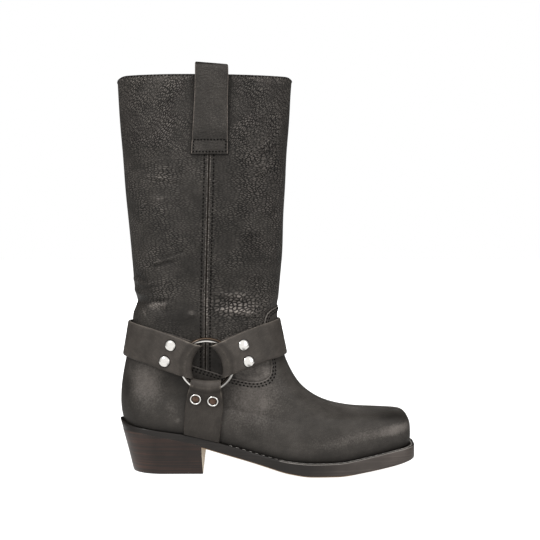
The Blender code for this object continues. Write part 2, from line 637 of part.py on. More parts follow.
def build_pull_loops(group, mat):
    """Leather loops over the collar at the side seams."""
    for side, inner in (("outer", False), ("inner", True)):
        rings = []
        places = []
        for v in (-0.5, 0.0, 0.5):
            column = []
            for rise in (0.0, 0.3, 0.6, 0.83):
                z = LOOP_FOOT_Z + (LOOP_TOP_Z - LOOP_FOOT_Z) * rise
                width = LOOP_FOOT_WIDTH + (LOOP_TOP_WIDTH - LOOP_FOOT_WIDTH) * min(1, rise * 1.6)
                x = LOOP_FOOT_X + (LOOP_TOP_X - LOOP_FOOT_X) * rise + v * width
                u, t = point_on_side(x, z, inner)
                column.append((upper_point(u, t), upper_normal(u, t)))
            places.append(column)
        spring = LOOP_TOP_Z - LOOP_THICK - LOOP_SPAN / 2
        path = []
        for row, spread in ((0, 0.0), (1, 0.0), (2, 0.15), (3, 1.0)):
            path.append(("out", row, spread))
        for angle in (0, 45, 90, 135, 180):
            path.append(("arch", angle, 0.0))
        for row, spread in ((3, 1.0), (2, 0.15), (1, 0.0), (0, 0.0)):
            path.append(("in", row, spread))
        for kind, value, spread in path:
            near, far = [], []
            for column in places:
                top, top_n = column[3]
                centre = top - top_n * WALL / 2
                flat = np.array([top_n[0], top_n[1], 0.0])
                flat /= np.linalg.norm(flat)
                if kind == "arch":
                    c, s = math.cos(math.radians(value)), math.sin(math.radians(value))
                    hub = np.array([centre[0], centre[1], spring])
                    for store, radius in ((near, LOOP_SPAN / 2), (far, LOOP_SPAN / 2 + LOOP_THICK)):
                        store.append(hub + flat * radius * c + np.array([0, 0, radius * s]))
                    continue
                p, n = column[value]
                clear = GAP + 0.2 + spread * max(0.0, LOOP_SPAN / 2 - WALL / 2 - GAP - 0.2)
                for store, more in ((near, 0.0), (far, LOOP_THICK)):
                    if kind == "out":
                        store.append(p + n * (clear + more))
                    else:
                        store.append(p - n * (WALL + clear + more))
            rings.append(near + far[::-1])
        lofted("pull_loop_" + side, rings, group, mat)


def stand_over_origin(group):
    """Move the whole boot so that the middle of its box stands over the origin."""
    corners = np.array([v.co for piece in group.objects for v in piece.data.vertices])
    low, high = corners.min(axis=0), corners.max(axis=0)
    shift = Matrix.Translation((-(low[0] + high[0]) / 2, -(low[1] + high[1]) / 2, -low[2]))
    for piece in group.objects:
        piece.data.transform(shift)


def main():
    for thing in list(bpy.data.objects):
        bpy.data.objects.remove(thing)
    group = collection("harness boot")
    mats = {
        "leather": material("upper leather", (0.045, 0.041, 0.038), 0.55),
        "strap": material("strap leather", (0.038, 0.034, 0.031), 0.5),
        "welt": material("welt leather", (0.014, 0.012, 0.011), 0.5),
        "insole": material("insole leather", (0.42, 0.29, 0.18), 0.7),
        "outsole": material("sole leather", (0.045, 0.034, 0.028), 0.5),
        "heel": material("stacked heel leather", (0.050, 0.038, 0.032), 0.5),
        "metal": material("nickel plate", (0.62, 0.60, 0.57), 0.22, 1.0),
    }
    build_upper(group, mats["leather"])
    build_sole(group, mats)
    build_harness(group, mats)
    build_pull_loops(group, mats["leather"])
    stand_over_origin(group)


main()
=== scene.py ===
"""Looks of the pull-on harness boot: leather panels, seams, straps, metal and sole.

Sizes in the tables are millimetres from the back of the sole and from the floor, as the
boot is drawn; `placed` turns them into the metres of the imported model.
"""
import math

import bmesh
import bpy
import numpy as np
from bpy.props import FloatProperty, FloatVectorProperty, PointerProperty
from mathutils import Matrix, Vector
from mathutils.bvhtree import BVHTree
from mathutils.kdtree import KDTree


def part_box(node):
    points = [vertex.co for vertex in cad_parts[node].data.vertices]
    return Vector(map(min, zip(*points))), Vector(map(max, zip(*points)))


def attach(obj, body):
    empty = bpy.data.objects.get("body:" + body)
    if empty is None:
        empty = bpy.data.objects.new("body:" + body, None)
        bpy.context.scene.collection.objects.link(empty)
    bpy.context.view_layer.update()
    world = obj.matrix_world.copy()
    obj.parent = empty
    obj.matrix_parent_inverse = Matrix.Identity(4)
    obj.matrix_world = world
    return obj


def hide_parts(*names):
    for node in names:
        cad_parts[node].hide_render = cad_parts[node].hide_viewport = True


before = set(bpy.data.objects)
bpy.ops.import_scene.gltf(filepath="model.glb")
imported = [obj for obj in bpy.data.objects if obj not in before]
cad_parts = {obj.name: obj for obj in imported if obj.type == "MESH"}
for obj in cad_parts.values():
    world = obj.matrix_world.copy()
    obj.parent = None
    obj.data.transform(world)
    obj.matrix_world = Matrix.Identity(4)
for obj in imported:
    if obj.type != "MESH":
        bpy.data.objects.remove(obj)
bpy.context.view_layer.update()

bl_info = {
    "name": "Harness boot",
    "version": (1, 0, 0),
    "blender": (4, 5, 0),
    "location": "View3D > Sidebar > Boot",
    "description": "Leather, stitches, straps and metal of a pull-on harness boot",
    "category": "Object",
}

MM = 0.001
SOLE_LENGTH = 280.0
GAP, REST, WALL, VAMP_STEP = 0.3, 0.5, 2.2, 1.2
WELT_THICK, WELT_WIDTH = 3.0, 12.0
SOLE_ROLL, SOLE_LIFT = 7.0, 1.2
HEEL_BACK_RAKE, HEEL_SIDE_RAKE, HEEL_CHAMFER = 10.0, 3.2, 0.7
STRAP_THICK, LAY = 2.4, VAMP_STEP + 1.1
JOINT_X = 79.0            # where vamp and counter meet on each side
EDGE_ROUND = 0.9          # how far in the vamp's edge is rounded
STITCH_ROWS = (1.8, 4.4)  # rows of stitches beside the vamp's edge
SEAM_STITCH = 4.4         # rows of stitches beside the side seams
SEAM_LAP, SEAM_CUT = 3.0, 0.22  # how far a panel's grid runs past the seam, and its cut edge
SHAFT_ROW = 10.0          # row of the last where the shaft panels begin
RING_RADIUS, WIRE_RADIUS, RING_STAND, RING_LIFT = 24.2, 2.4, 8.0, 1.2
RING_X, RING_Z = 82.7, 106.5
FOLD_HALF = {"back": 16.6, "front": 16.6, "side": 14.2}
FOLD_SAG = {"back": 1.0, "front": 1.0, "side": 3.0}
FOLD_SLACK = {"back": 5.0, "front": 5.2, "side": 1.8}
RIVET_FLAT = 5.6
LOOP_FOOT_X, LOOP_FOOT_Z, LOOP_FOOT_WIDTH = 85.2, 303.6, 33.6
LOOP_TOP_X, LOOP_TOP_Z, LOOP_TOP_WIDTH = 87.8, 389.0, 30.4
LOOP_THICK, LOOP_SPAN = 2.2, 7.0
RIM = 1.1                 # radius of the turned collar edge
# wear holds rubbing and painted highlights; shade holds painted shade and painted shadow
PAINTED = ("grain", "pebble", "wear", "shade")  # values stored on the leather

PLAN = (
    # x, outer, inner, ledge
    (0.0, 30.5, 30.5, 1.6),
    (35.0, 32.0, 31.5, 1.8),
    (75.0, 31.5, 29.5, 2.4),
    (110.0, 34.0, 28.5, 3.4),
    (165.0, 48.0, 41.0, 4.2),
    (185.0, 50.0, 46.0, 4.2),
    (205.0, 48.5, 47.5, 4.2),
    (245.0, 37.5, 38.5, 4.6),
    (280.0, 27.0, 29.0, 4.6),
)
TOE_ROUND, TOE_POWER = 26.0, 4.0
HEEL_ROUND, HEEL_POWER = 31.0, 2.1

SOLE_LINE = (
    # x, top, bottom
    (0.0, 46.3, 38.4),
    (18.0, 44.6, 36.6),
    (38.0, 41.4, 32.8),
    (60.0, 38.2, 28.6),
    (79.0, 34.2, 23.9),
    (99.0, 28.9, 18.2),
    (135.0, 19.8, 8.7),
    (160.0, 14.8, 2.4),
    (180.0, 13.4, 0.0),
    (204.0, 13.8, 0.0),
    (232.0, 17.6, 3.0),
    (259.0, 22.8, 7.6),
    (280.0, 26.6, 12.8),
)

GIRTHS = (
    # front_x, front_z, back_x, back_z, follow, full, shaft, half, nose, nose_p, round, round_p
    (273.2, 0.0, 2.4, 0.0, 1.00, 0.955, 0.00, 37.0, 30.0, 4.2, 30.0, 2.1),       # welt
    (274.8, 34.0, -0.3, 55.0, 1.00, 1.000, 0.00, 37.0, 30.0, 4.2, 31.0, 2.1),    # bulge
    (274.6, 44.8, -1.2, 63.0, 1.00, 0.995, 0.00, 37.0, 31.0, 4.0, 32.0, 2.1),    # toe wall
    (272.4, 51.4, -1.3, 69.5, 0.97, 0.970, 0.02, 37.0, 33.0, 3.7, 32.0, 2.1),    # toe corner
    (267.0, 56.8, -1.1, 75.5, 0.93, 0.930, 0.04, 37.0, 36.0, 3.2, 33.0, 2.1),    # toe brow
    (256.0, 58.0, -0.6, 81.0, 0.88, 0.880, 0.07, 37.0, 44.0, 2.8, 33.0, 2.1),    # toe roof
    (236.0, 58.0, 0.0, 86.5, 0.82, 0.848, 0.12, 36.8, 58.0, 2.4, 34.0, 2.1),     # vamp point
    (214.0, 60.4, 0.8, 92.0, 0.74, 0.832, 0.18, 36.6, 68.0, 2.3, 35.0, 2.1),     # tread
    (195.3, 65.0, 1.8, 97.5, 0.65, 0.828, 0.27, 36.4, 70.0, 2.3, 37.0, 2.1),     # ball
    (181.5, 72.1, 2.7, 103.0, 0.54, 0.835, 0.38, 36.2, 66.0, 2.3, 40.0, 2.1),    # vamp
    (169.8, 81.3, 4.0, 109.5, 0.42, 0.870, 0.52, 36.2, 62.0, 2.3, 44.0, 2.1),    # instep
    (160.5, 95.8, 6.0, 118.0, 0.29, 0.910, 0.68, 36.3, 62.0, 2.2, 50.0, 2.1),    # high instep
    (154.1, 110.7, 7.9, 127.0, 0.17, 0.960, 0.84, 36.5, 64.0, 2.2, 56.0, 2.1),   # throat
    (149.9, 129.0, 9.4, 138.0, 0.06, 1.000, 0.95, 36.8, 67.0, 2.15, 62.0, 2.1),  # strap line
    (146.8, 149.0, 10.2, 150.5, 0.0, 1.000, 1.00, 37.2, 68.0, 2.1, 67.0, 2.1),   # ankle
    (148.9, 163.0, 13.8, 163.0, 0.0, 1.000, 1.00, 37.7, 67.0, 2.1, 67.0, 2.1),   # ankle fold
    (150.6, 178.0, 11.5, 178.0, 0.0, 1.000, 1.00, 38.7, 69.0, 2.1, 69.0, 2.1),   # low calf
    (152.9, 206.0, 9.3, 206.0, 0.0, 1.000, 1.00, 40.4, 71.0, 2.1, 71.0, 2.1),    # calf
    (154.5, 245.0, 5.5, 245.0, 0.0, 1.000, 1.00, 41.6, 74.0, 2.1, 74.0, 2.1),    # mid calf
    (157.5, 302.0, 1.1, 302.0, 0.0, 1.000, 1.00, 41.0, 78.0, 2.1, 78.0, 2.1),    # high calf
    (160.6, 346.0, -2.0, 346.0, 0.0, 1.000, 1.00, 39.6, 81.0, 2.1, 81.0, 2.1),   # top
    (162.3, 375.6, -4.2, 375.6, 0.0, 1.000, 1.00, 38.6, 83.0, 2.1, 83.0, 2.1),   # collar
)

VAMP_EDGE = (
    # x, z: edge of vamp and counter in the side view, from the back up to the tongue
    (4.0, 130.0),
    (40.0, 115.0),
    (67.5, 104.8),
    (92.0, 97.0),
    (106.0, 92.2),
    (120.0, 89.2),
    (129.0, 88.3),
    (136.0, 89.8),
    (140.4, 92.4),
    (142.2, 97.4),
    (142.4, 107.0),
    (138.4, 125.0),
    (135.2, 141.0),
    (136.4, 149.0),
    (139.8, 154.8),
    (152.0, 160.0),
)
SIDE_SEAM = (
    # z, x
    (70.0, 80.2),
    (139.0, 80.9),
    (167.0, 81.3),
    (236.5, 83.2),
    (302.6, 85.0),
    (376.0, 86.6),
)

STRAP_EDGES = {
    # strap: (upper height, upper slope, lower height, lower slope, bow)
    "back": (145.8, -0.240, 112.2, -0.281, 1.0),
    "front": (97.9, 0.322, 62.4, 0.322, 2.0),
}
STRAP_SPAN = {"back": -80.0, "front": 70.0}
SIDE_STRAP = (
    # z, rear x, front x
    (118.0, 67.0, 99.0),
    (92.5, 66.4, 97.3),
    (66.7, 61.6, 96.9),
    (30.0, 59.6, 93.4),
)
RIVET_ROWS = {"back": 36.7, "front": 35.7, "side": 33.9}

# Soft folds of the shaft in the side view
FOLDS = (
    # x, z, length, angle, width, height
    (24.0, 163.0, 30.0, -6.0, 3.2, -1.1),
    (22.0, 171.0, 26.0, -14.0, 2.6, 0.7),
    (17.0, 182.0, 16.0, -28.0, 1.8, 0.55),
    (20.0, 186.5, 15.0, -30.0, 1.6, -0.5),
    (37.0, 161.5, 20.0, 6.0, 2.2, 0.75),
    (40.0, 165.5, 18.0, 8.0, 1.6, -0.5),
    (36.0, 156.5, 22.0, -4.0, 3.0, -0.6),
    (46.0, 205.0, 34.0, 16.0, 1.7, 0.55),
    (52.0, 209.0, 26.0, 18.0, 1.4, -0.4),
    (40.0, 200.0, 26.0, 12.0, 1.7, -0.45),
    (68.0, 152.0, 10.0, 20.0, 2.6, 0.45),
    (40.0, 262.0, 24.0, 3.0, 1.6, 0.3),
    (48.0, 290.0, 26.0, 4.0, 1.6, 0.25),
    (103.0, 172.0, 34.0, -4.0, 2.2, 0.55),
    (112.0, 164.0, 34.0, -6.0, 2.0, -0.5),
    (108.0, 156.0, 36.0, -8.0, 2.2, 0.5),
    (120.0, 149.0, 26.0, -12.0, 2.0, -0.4),
    (124.0, 186.0, 26.0, -10.0, 2.0, -0.3),
    (134.0, 318.0, 20.0, 48.0, 1.6, 0.4),
    (139.0, 311.0, 20.0, 52.0, 1.6, -0.35),
    (132.0, 292.0, 22.0, 44.0, 1.6, 0.35),
    (140.0, 286.0, 22.0, 46.0, 1.6, -0.35),
    (136.0, 340.0, 18.0, 30.0, 1.6, 0.3),
    (27.0, 181.0, 18.0, 15.0, 1.0, 0.4),
    (29.0, 178.0, 18.0, 12.0, 1.0, -0.4),
    (31.0, 175.0, 16.0, 10.0, 1.0, 0.35),
    (40.0, 281.0, 46.0, -6.0, 1.1, 0.35),
    (44.0, 277.0, 50.0, -8.0, 1.0, -0.35),
    (28.0, 296.0, 36.0, 12.0, 1.1, 0.3),
    (30.0, 291.0, 36.0, 8.0, 1.0, -0.3),
    (136.0, 312.0, 30.0, 38.0, 1.1, 0.4),
    (140.0, 306.0, 28.0, 36.0, 1.0, -0.4),
    (132.0, 304.0, 26.0, 34.0, 1.1, 0.35),
    (138.0, 292.0, 28.0, -6.0, 1.1, 0.35),
)
# Soft folds of vamp and counter
FOOT_FOLDS = (
    # x, z, length, angle, width, height
    (19.0, 93.0, 34.0, 84.0, 2.4, -0.5),
    (25.0, 95.0, 30.0, 80.0, 2.2, 0.45),
    (30.5, 92.0, 26.0, 76.0, 2.0, -0.4),
    (48.0, 62.0, 26.0, -30.0, 2.6, 0.35),
    (104.0, 70.0, 26.0, -74.0, 2.2, -0.4),
    (110.0, 66.0, 26.0, -70.0, 2.2, 0.35),
    (117.0, 74.0, 22.0, -62.0, 2.0, -0.3),
    (168.0, 62.0, 44.0, -52.0, 6.0, 0.35),
    (182.0, 54.0, 40.0, -48.0, 6.0, -0.35),
)
# Soft spots of painted looks in the side view; the wear spots are partly rubbing and mostly painted highlights
# where light falls, the shade spots are painted shade
SPOTS = {
    # strength, x, z, half length, half height, then side (-1 outer, 1 inner) and turn
    "front pebble": ((1.0, 108, 161, 28, 13), (0.35, 138, 300, 20, 40), (0.6, 112, 166, 34, 22, 1)),
    "front grain": ((0.3, 136, 320, 26, 60), (-0.6, 108, 161, 28, 13)),
    "front wear": ((0.54, 115, 160, 37, 15), (0.22, 145, 290, 14, 80), (0.18, 148, 235, 16, 60)),
    "back pebble": (),
    "back grain": ((0.22, 45, 330, 40, 60), (-0.35, 44, 148, 40, 16)),
    "back wear": ((0.45, 35, 160, 12, 6), (0.6, 68, 155, 5, 3.5), (0.28, 38, 250, 12, 100),
                  (0.7, 23, 152.5, 5, 1.1, -1, -65)),
    "shaft shade": ((0.4, 82.7, 106, 17, 17), (0.3, 94, 232, 40, 85), (0.4, 57, 147, 24, 12)),
    "foot wear": ((0.55, 25, 87, 15, 22), (0.22, 49, 62, 7, 8), (0.3, 54, 52, 3, 3),
                  (0.2, 136, 67, 4, 4), (0.46, 125, 72, 30, 27), (0.72, 261, 42.6, 18, 4.6, -1, 12),
                  (0.32, 222, 37, 28, 6, -1, 13), (0.1, 190, 32, 26, 10)),
    "foot shade": ((0.75, 259, 54.4, 21, 4.8), (0.4, 6, 84, 6, 14), (0.35, 54, 93, 16, 7),
                   (0.2, 178, 58, 18, 12), (0.2, 82.7, 104, 16, 12)),
}

# Turned fittings: radius and height along the profile
CAP = ((5.55, -0.1), (5.65, 0.35), (5.5, 0.8), (5.3, 1.05), (5.0, 1.4), (4.2, 1.95), (3.1, 2.35),
       (1.9, 2.6), (0.7, 2.7), (0.0, 2.72))
EYELET = ((5.3, -0.1), (5.5, 0.35), (5.4, 0.85), (5.05, 1.3), (4.6, 1.42), (4.2, 1.2), (3.95, 0.8),
          (3.8, 0.6))
CENTRE = ((3.85, 0.3), (3.8, 0.62), (3.2, 0.78), (2.0, 0.95), (0.8, 1.02), (0.0, 1.03))

SOFTBOXES = (
    # name, place, width, height, watts, seen in the metal
    ("overhead softbox", (0.0, -0.6, 1.7), 1.2, 0.7, 26.0, False),
    ("left softbox", (-1.1, -1.3, 1.2), 0.5, 0.7, 12.0, True),
    ("right softbox", (1.3, -1.0, 0.5), 0.6, 1.0, 5.0, True),
    ("back softbox", (0.0, 1.7, 0.5), 1.0, 1.0, 34.0, False),
)
LIGHT_AIM = (0.0, 0.0, 0.16)
CAMERA_PLACE, CAMERA_AIM = (0.00368, -1.54, 0.305), (0.00368, 0.0, 0.1923)
SENSOR_WIDTH, FOCAL_PIXELS, PICTURE_PIXELS = 36.0, 1611.0, 540.0


def smooth_curve(xs, ys):
    """Function through the given points that never overshoots them."""
    xs, ys = np.asarray(xs, float), np.asarray(ys, float)
    run, slope = np.diff(xs), np.diff(ys) / np.diff(xs)
    tangent = np.zeros_like(ys)
    tangent[0], tangent[-1] = slope[0], slope[-1]
    for i in range(1, len(xs) - 1):
        if slope[i - 1] * slope[i] > 0:
            a, b = 2 * run[i] + run[i - 1], run[i] + 2 * run[i - 1]
            tangent[i] = (a + b) / (a / slope[i - 1] + b / slope[i])

    def value(x):
        x = np.clip(x, xs[0], xs[-1])
        i = np.clip(np.searchsorted(xs, x) - 1, 0, len(run) - 1)
        f = (x - xs[i]) / run[i]
        return (ys[i] * (1 + 2 * f) * (1 - f) ** 2 + ys[i + 1] * f * f * (3 - 2 * f)
                + run[i] * f * (1 - f) * (tangent[i] * (1 - f) - tangent[i + 1] * f))

    return value


plan = np.array(PLAN)
half_outer, half_inner, ledge = (smooth_curve(plan[:, 0], plan[:, i]) for i in (1, 2, 3))
line = np.array(SOLE_LINE)
sole_top, sole_bottom = (smooth_curve(line[:, 0], line[:, i]) for i in (1, 2))
rows = np.array(GIRTHS)
for end_x, end_z in ((0, 1), (2, 3)):
    rows[0, end_z] = sole_top(rows[0, end_x]) + REST
girth = [smooth_curve(np.arange(len(rows)), rows[:, i]) for i in range(rows.shape[1])]
LAST_ROW = len(rows) - 1.0
COLLAR_FRONT, COLLAR_Z, COLLAR_BACK = rows[-1, :3]
front0, front_z0, back0, back_z0 = rows[0, :4]
seam_line = np.array(SIDE_SEAM)
seam_x = smooth_curve(seam_line[:, 0], seam_line[:, 1])


def unit(vectors):
    """The vectors at length one."""
    return vectors / np.linalg.norm(vectors, axis=-1, keepdims=True)


def direction(angle):
    """Cosine and sine of an angle in degrees."""
    return math.cos(math.radians(angle)), math.sin(math.radians(angle))


def lengths(points):
    """Length along a polyline at each of its points."""
    return np.concatenate([[0], np.cumsum(np.linalg.norm(np.diff(points, axis=0), axis=1))])


def hump(value, at, width):
    """Soft bell round a value."""
    return np.exp(-((value - at) / width) ** 2)


def closing(distance, length, power):
    """Share of the full width at a distance from the end of a rounded outline."""
    q = 1 - np.clip(distance / length, 0, 1)
    return (1 - q ** power) ** (1 / power)


def upper_point(u, t):
    """Surface of the upper under the vamp: u runs 0 at the back, 1 at the front, 2 at the
    back again along the inner side; t runs from 0 at the welt to LAST_ROW at the collar."""
    u, t = np.broadcast_arrays(np.mod(u, 2.0), np.asarray(t, float))
    inner = u > 1
    s = (1 - np.cos(np.pi * np.where(inner, 2 - u, u))) / 2
    (front_x, front_z, back_x, back_z, follow, full, shaft, half,
     nose, nose_p, heel, heel_p) = (column(t) for column in girth)
    x = back_x + (front_x - back_x) * s
    first = back0 + (front0 - back0) * s
    dip = sole_top(first) + REST - (back_z0 + (front_z0 - back_z0) * s)
    z = back_z + (front_z - back_z) * s + follow * dip
    foot = (np.where(inner, half_inner(x), half_outer(x)) - ledge(x)) * full
    width = foot * (1 - shaft) + half * shaft
    width = width * closing(x - back_x, heel, heel_p) * closing(front_x - x, nose, nose_p)
    return np.stack([x, np.where(inner, width, -width), z], axis=-1)


def upper_normal(u, t, step=2e-3):
    """Unit normal of the upper, pointing out."""
    around = upper_point(u + step, t) - upper_point(u - step, t)
    low, high = np.clip(t - 0.05, 0, LAST_ROW), np.clip(t + 0.05, 0, LAST_ROW)
    return unit(np.cross(around, upper_point(u, high) - upper_point(u, low)))


def row_on_line(u, line_z):
    """Row t at which each column u meets a line of the side view, given as z of x."""
    ts = np.linspace(0, LAST_ROW, 500)
    points = upper_point(np.asarray(u)[:, None], ts[None, :])
    over = points[..., 2] - line_z(points[..., 0])
    at = np.argmax(over > 0, axis=1)
    pick = np.arange(len(at))
    a, b = over[pick, at - 1], over[pick, at]
    return ts[at - 1] + (ts[at] - ts[at - 1]) * a / (a - b)


def point_on_side(x, z, inner):
    """(u, t) of the upper at a place of the side view."""
    ts = np.linspace(0, LAST_ROW, 800)
    back_x, front_x = girth[2](ts), girth[0](ts)
    s = np.clip((x - back_x) / (front_x - back_x), 0, 1)
    u = np.arccos(1 - 2 * s) / np.pi
    over = upper_point(u, ts)[:, 2] - z
    at = int(np.argmax(over > 0)) if (over > 0).any() else len(ts) - 1
    f = over[at - 1] / (over[at - 1] - over[at])
    u, t = u[at - 1] + (u[at] - u[at - 1]) * f, ts[at - 1] + (ts[at] - ts[at - 1]) * f
    return (2 - u if inner else u), t


def side_place(x, z, inner):
    """Point of the upper at a place of the side view, and its normal."""
    place = point_on_side(x, z, inner)
    return upper_point(*place), upper_normal(*place)


def both_sides(x, outer, inner, z):
    """Ring of points along the outer side and back along the inner side."""
    return np.concatenate([np.stack([x, outer, z], axis=-1), np.stack([x, inner, z], axis=-1)[::-1]])


def sole_outline(s, inset):
    """Outer and inner side of the sole drawn in by inset, at shares s of its length."""
    x = inset + (SOLE_LENGTH - 2 * inset) * s
    ends = (closing(x - inset, HEEL_ROUND - inset, HEEL_POWER)
            * closing(SOLE_LENGTH - inset - x, max(TOE_ROUND - inset, 8.0), TOE_POWER))
    return x, -(half_outer(x) - inset) * ends, (half_inner(x) - inset) * ends


def collar_top(x):
    """Height of the collar's edge in the side view, with rounded ends."""
    back = 1 - np.clip((x - COLLAR_BACK) / 12.0, 0, 1)
    front = 1 - np.clip((COLLAR_FRONT - x) / 6.0, 0, 1)
    bow = np.where(x > 60, 1.7 * ((x - 60) / 95) ** 2, 1.1 * ((x - 60) / 58) ** 2)
    return 377.4 - bow - 5.0 * (1 - np.sqrt(1 - back ** 2)) - 3.4 * (1 - np.sqrt(1 - front ** 2))


def loop_line(rise):
    """Middle and width of the pull loop at a share of its height."""
    width = LOOP_FOOT_WIDTH + (LOOP_TOP_WIDTH - LOOP_FOOT_WIDTH) * np.clip(rise * 1.6, 0, 1)
    return LOOP_FOOT_X + (LOOP_TOP_X - LOOP_FOOT_X) * rise, width


def beside_loop(x, z):
    """Distance in the side view from the edge of the pull loop, negative under it."""
    middle, width = loop_line((z - LOOP_FOOT_Z) / (LOOP_TOP_Z - LOOP_FOOT_Z))
    return np.abs(x - middle) - width / 2


def solid_shift():
    """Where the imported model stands, from the outline of its outsole."""
    s = (1 - np.cos(np.pi * (np.arange(22) + 0.4) / 21.8)) / 2
    x, outer, _ = sole_outline(s, 0.0)
    low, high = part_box("outsole")
    return np.array([high.x / MM - x.max(), low.y / MM - outer.min(), 0.0])


SHIFT = solid_shift()


def placed(points):
    """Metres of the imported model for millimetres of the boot."""
    return (np.asarray(points, float) + SHIFT) * MM


def placed_x(x):
    """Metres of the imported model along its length."""
    return (x + SHIFT[0]) * MM


def evened(points, count):
    """The polyline with count points evenly along its length."""
    points = np.asarray(points, float)
    run = lengths(points)
    at = np.linspace(0, run[-1], count)
    return np.stack([np.interp(at, run, points[:, i]) for i in range(points.shape[1])], axis=-1)


def rounded(points, times=2):
    """The polyline with its corners cut, its ends kept."""
    points = np.asarray(points, float)
    for _ in range(times):
        a, b = points[:-1], points[1:]
        cut = np.stack([a * 0.75 + b * 0.25, a * 0.25 + b * 0.75], axis=1).reshape(-1, points.shape[1])
        points = np.concatenate([points[:1], cut[1:-1], points[-1:]])
    return points


def softened(points, times):
    """The polyline with each point drawn toward its neighbours, its ends kept."""
    points = points.copy()
    for _ in range(times):
        points[1:-1] = points[1:-1] * 0.5 + (points[:-2] + points[2:]) * 0.25
    return points


def nearness(points, targets):
    """Distance from each point to the nearest target."""
    tree = KDTree(len(targets))
    for i, p in enumerate(targets):
        tree.insert(p, i)
    tree.balance()
    return np.array([tree.find(p)[2] for p in points])


def inside_outline(x, z, outline):
    """True where a place of the side view lies inside a closed outline."""
    inside = np.zeros(x.shape, bool)
    for (xa, za), (xb, zb) in zip(outline, np.roll(outline, -1, axis=0)):
        if za != zb:
            crossing = xa + (z - za) / (zb - za) * (xb - xa)
            inside ^= ((za > z) != (zb > z)) & (x < crossing)
    return inside


def vamp_outline():
    """Edge of vamp and counter as a smooth line of the side view."""
    return evened(rounded(VAMP_EDGE, 3), 260)


def vamp_edge_on_upper():
    """Points and normals of that edge on the upper, from the back centre, for both sides."""
    sides = []
    for inner in (False, True):
        places = [side_place(x, z, inner) for x, z in vamp_outline()]
        sides.append(tuple(np.array(values) for values in zip(*places)))
    return sides


def edge_distance(points, edges):
    """Distance over the surface from the edge of vamp and counter, positive on the vamp."""
    dense = np.concatenate([evened(p, 1500) for p, _ in edges])
    outline = np.concatenate([vamp_outline(), [(320, 160), (320, -60), (-60, -60), (-60, 130)]])
    inside = inside_outline(points[:, 0], points[:, 2], outline)
    return np.where(inside, 1.0, -1.0) * nearness(points, dense)


def folds(table, x, z, y):
    """Height of the soft folds; the inner side has the same folds a little further on."""
    total = np.zeros_like(x)
    for x0, z0, length, angle, width, height in table:
        for side, dx, dz, share in ((-1, 0.0, 0.0, 1.0), (1, 5.0, -7.0, 0.8)):
            c, s = direction(angle)
            a = (x - x0 - dx) * c + (z - z0 - dz) * s
            b = -(x - x0 - dx) * s + (z - z0 - dz) * c + 0.5 * np.sin(a * 0.5 + x0)
            soft = np.exp(-(b / width) ** 2) * np.exp(-(2.1 * a / length) ** 4)
            total += height * share * soft * np.clip(0.5 + side * y / 10.0, 0, 1)
    return total


def spot(x, z, y, x0, z0, rx, rz, side=-1, turn=0.0):
    """Soft round mask at a place of one side, fading over the middle, turned by some degrees."""
    c, s = direction(turn)
    a, b = (x - x0) * c + (z - z0) * s, (z - z0) * c - (x - x0) * s
    return np.exp(-(a / rx) ** 2 - (b / rz) ** 2) * np.clip(0.5 + side * y / 20.0, 0, 1)


def spots(name, x, z, y):
    """Each of the spots of a painted look, at its strength."""
    return [strength * spot(x, z, y, *place) for strength, *place in SPOTS[name]]


def spotted(name, x, z, y, level=0.0):
    """A painted look: its spots added to a level."""
    return sum(spots(name, x, z, y), level + 0.0 * x)


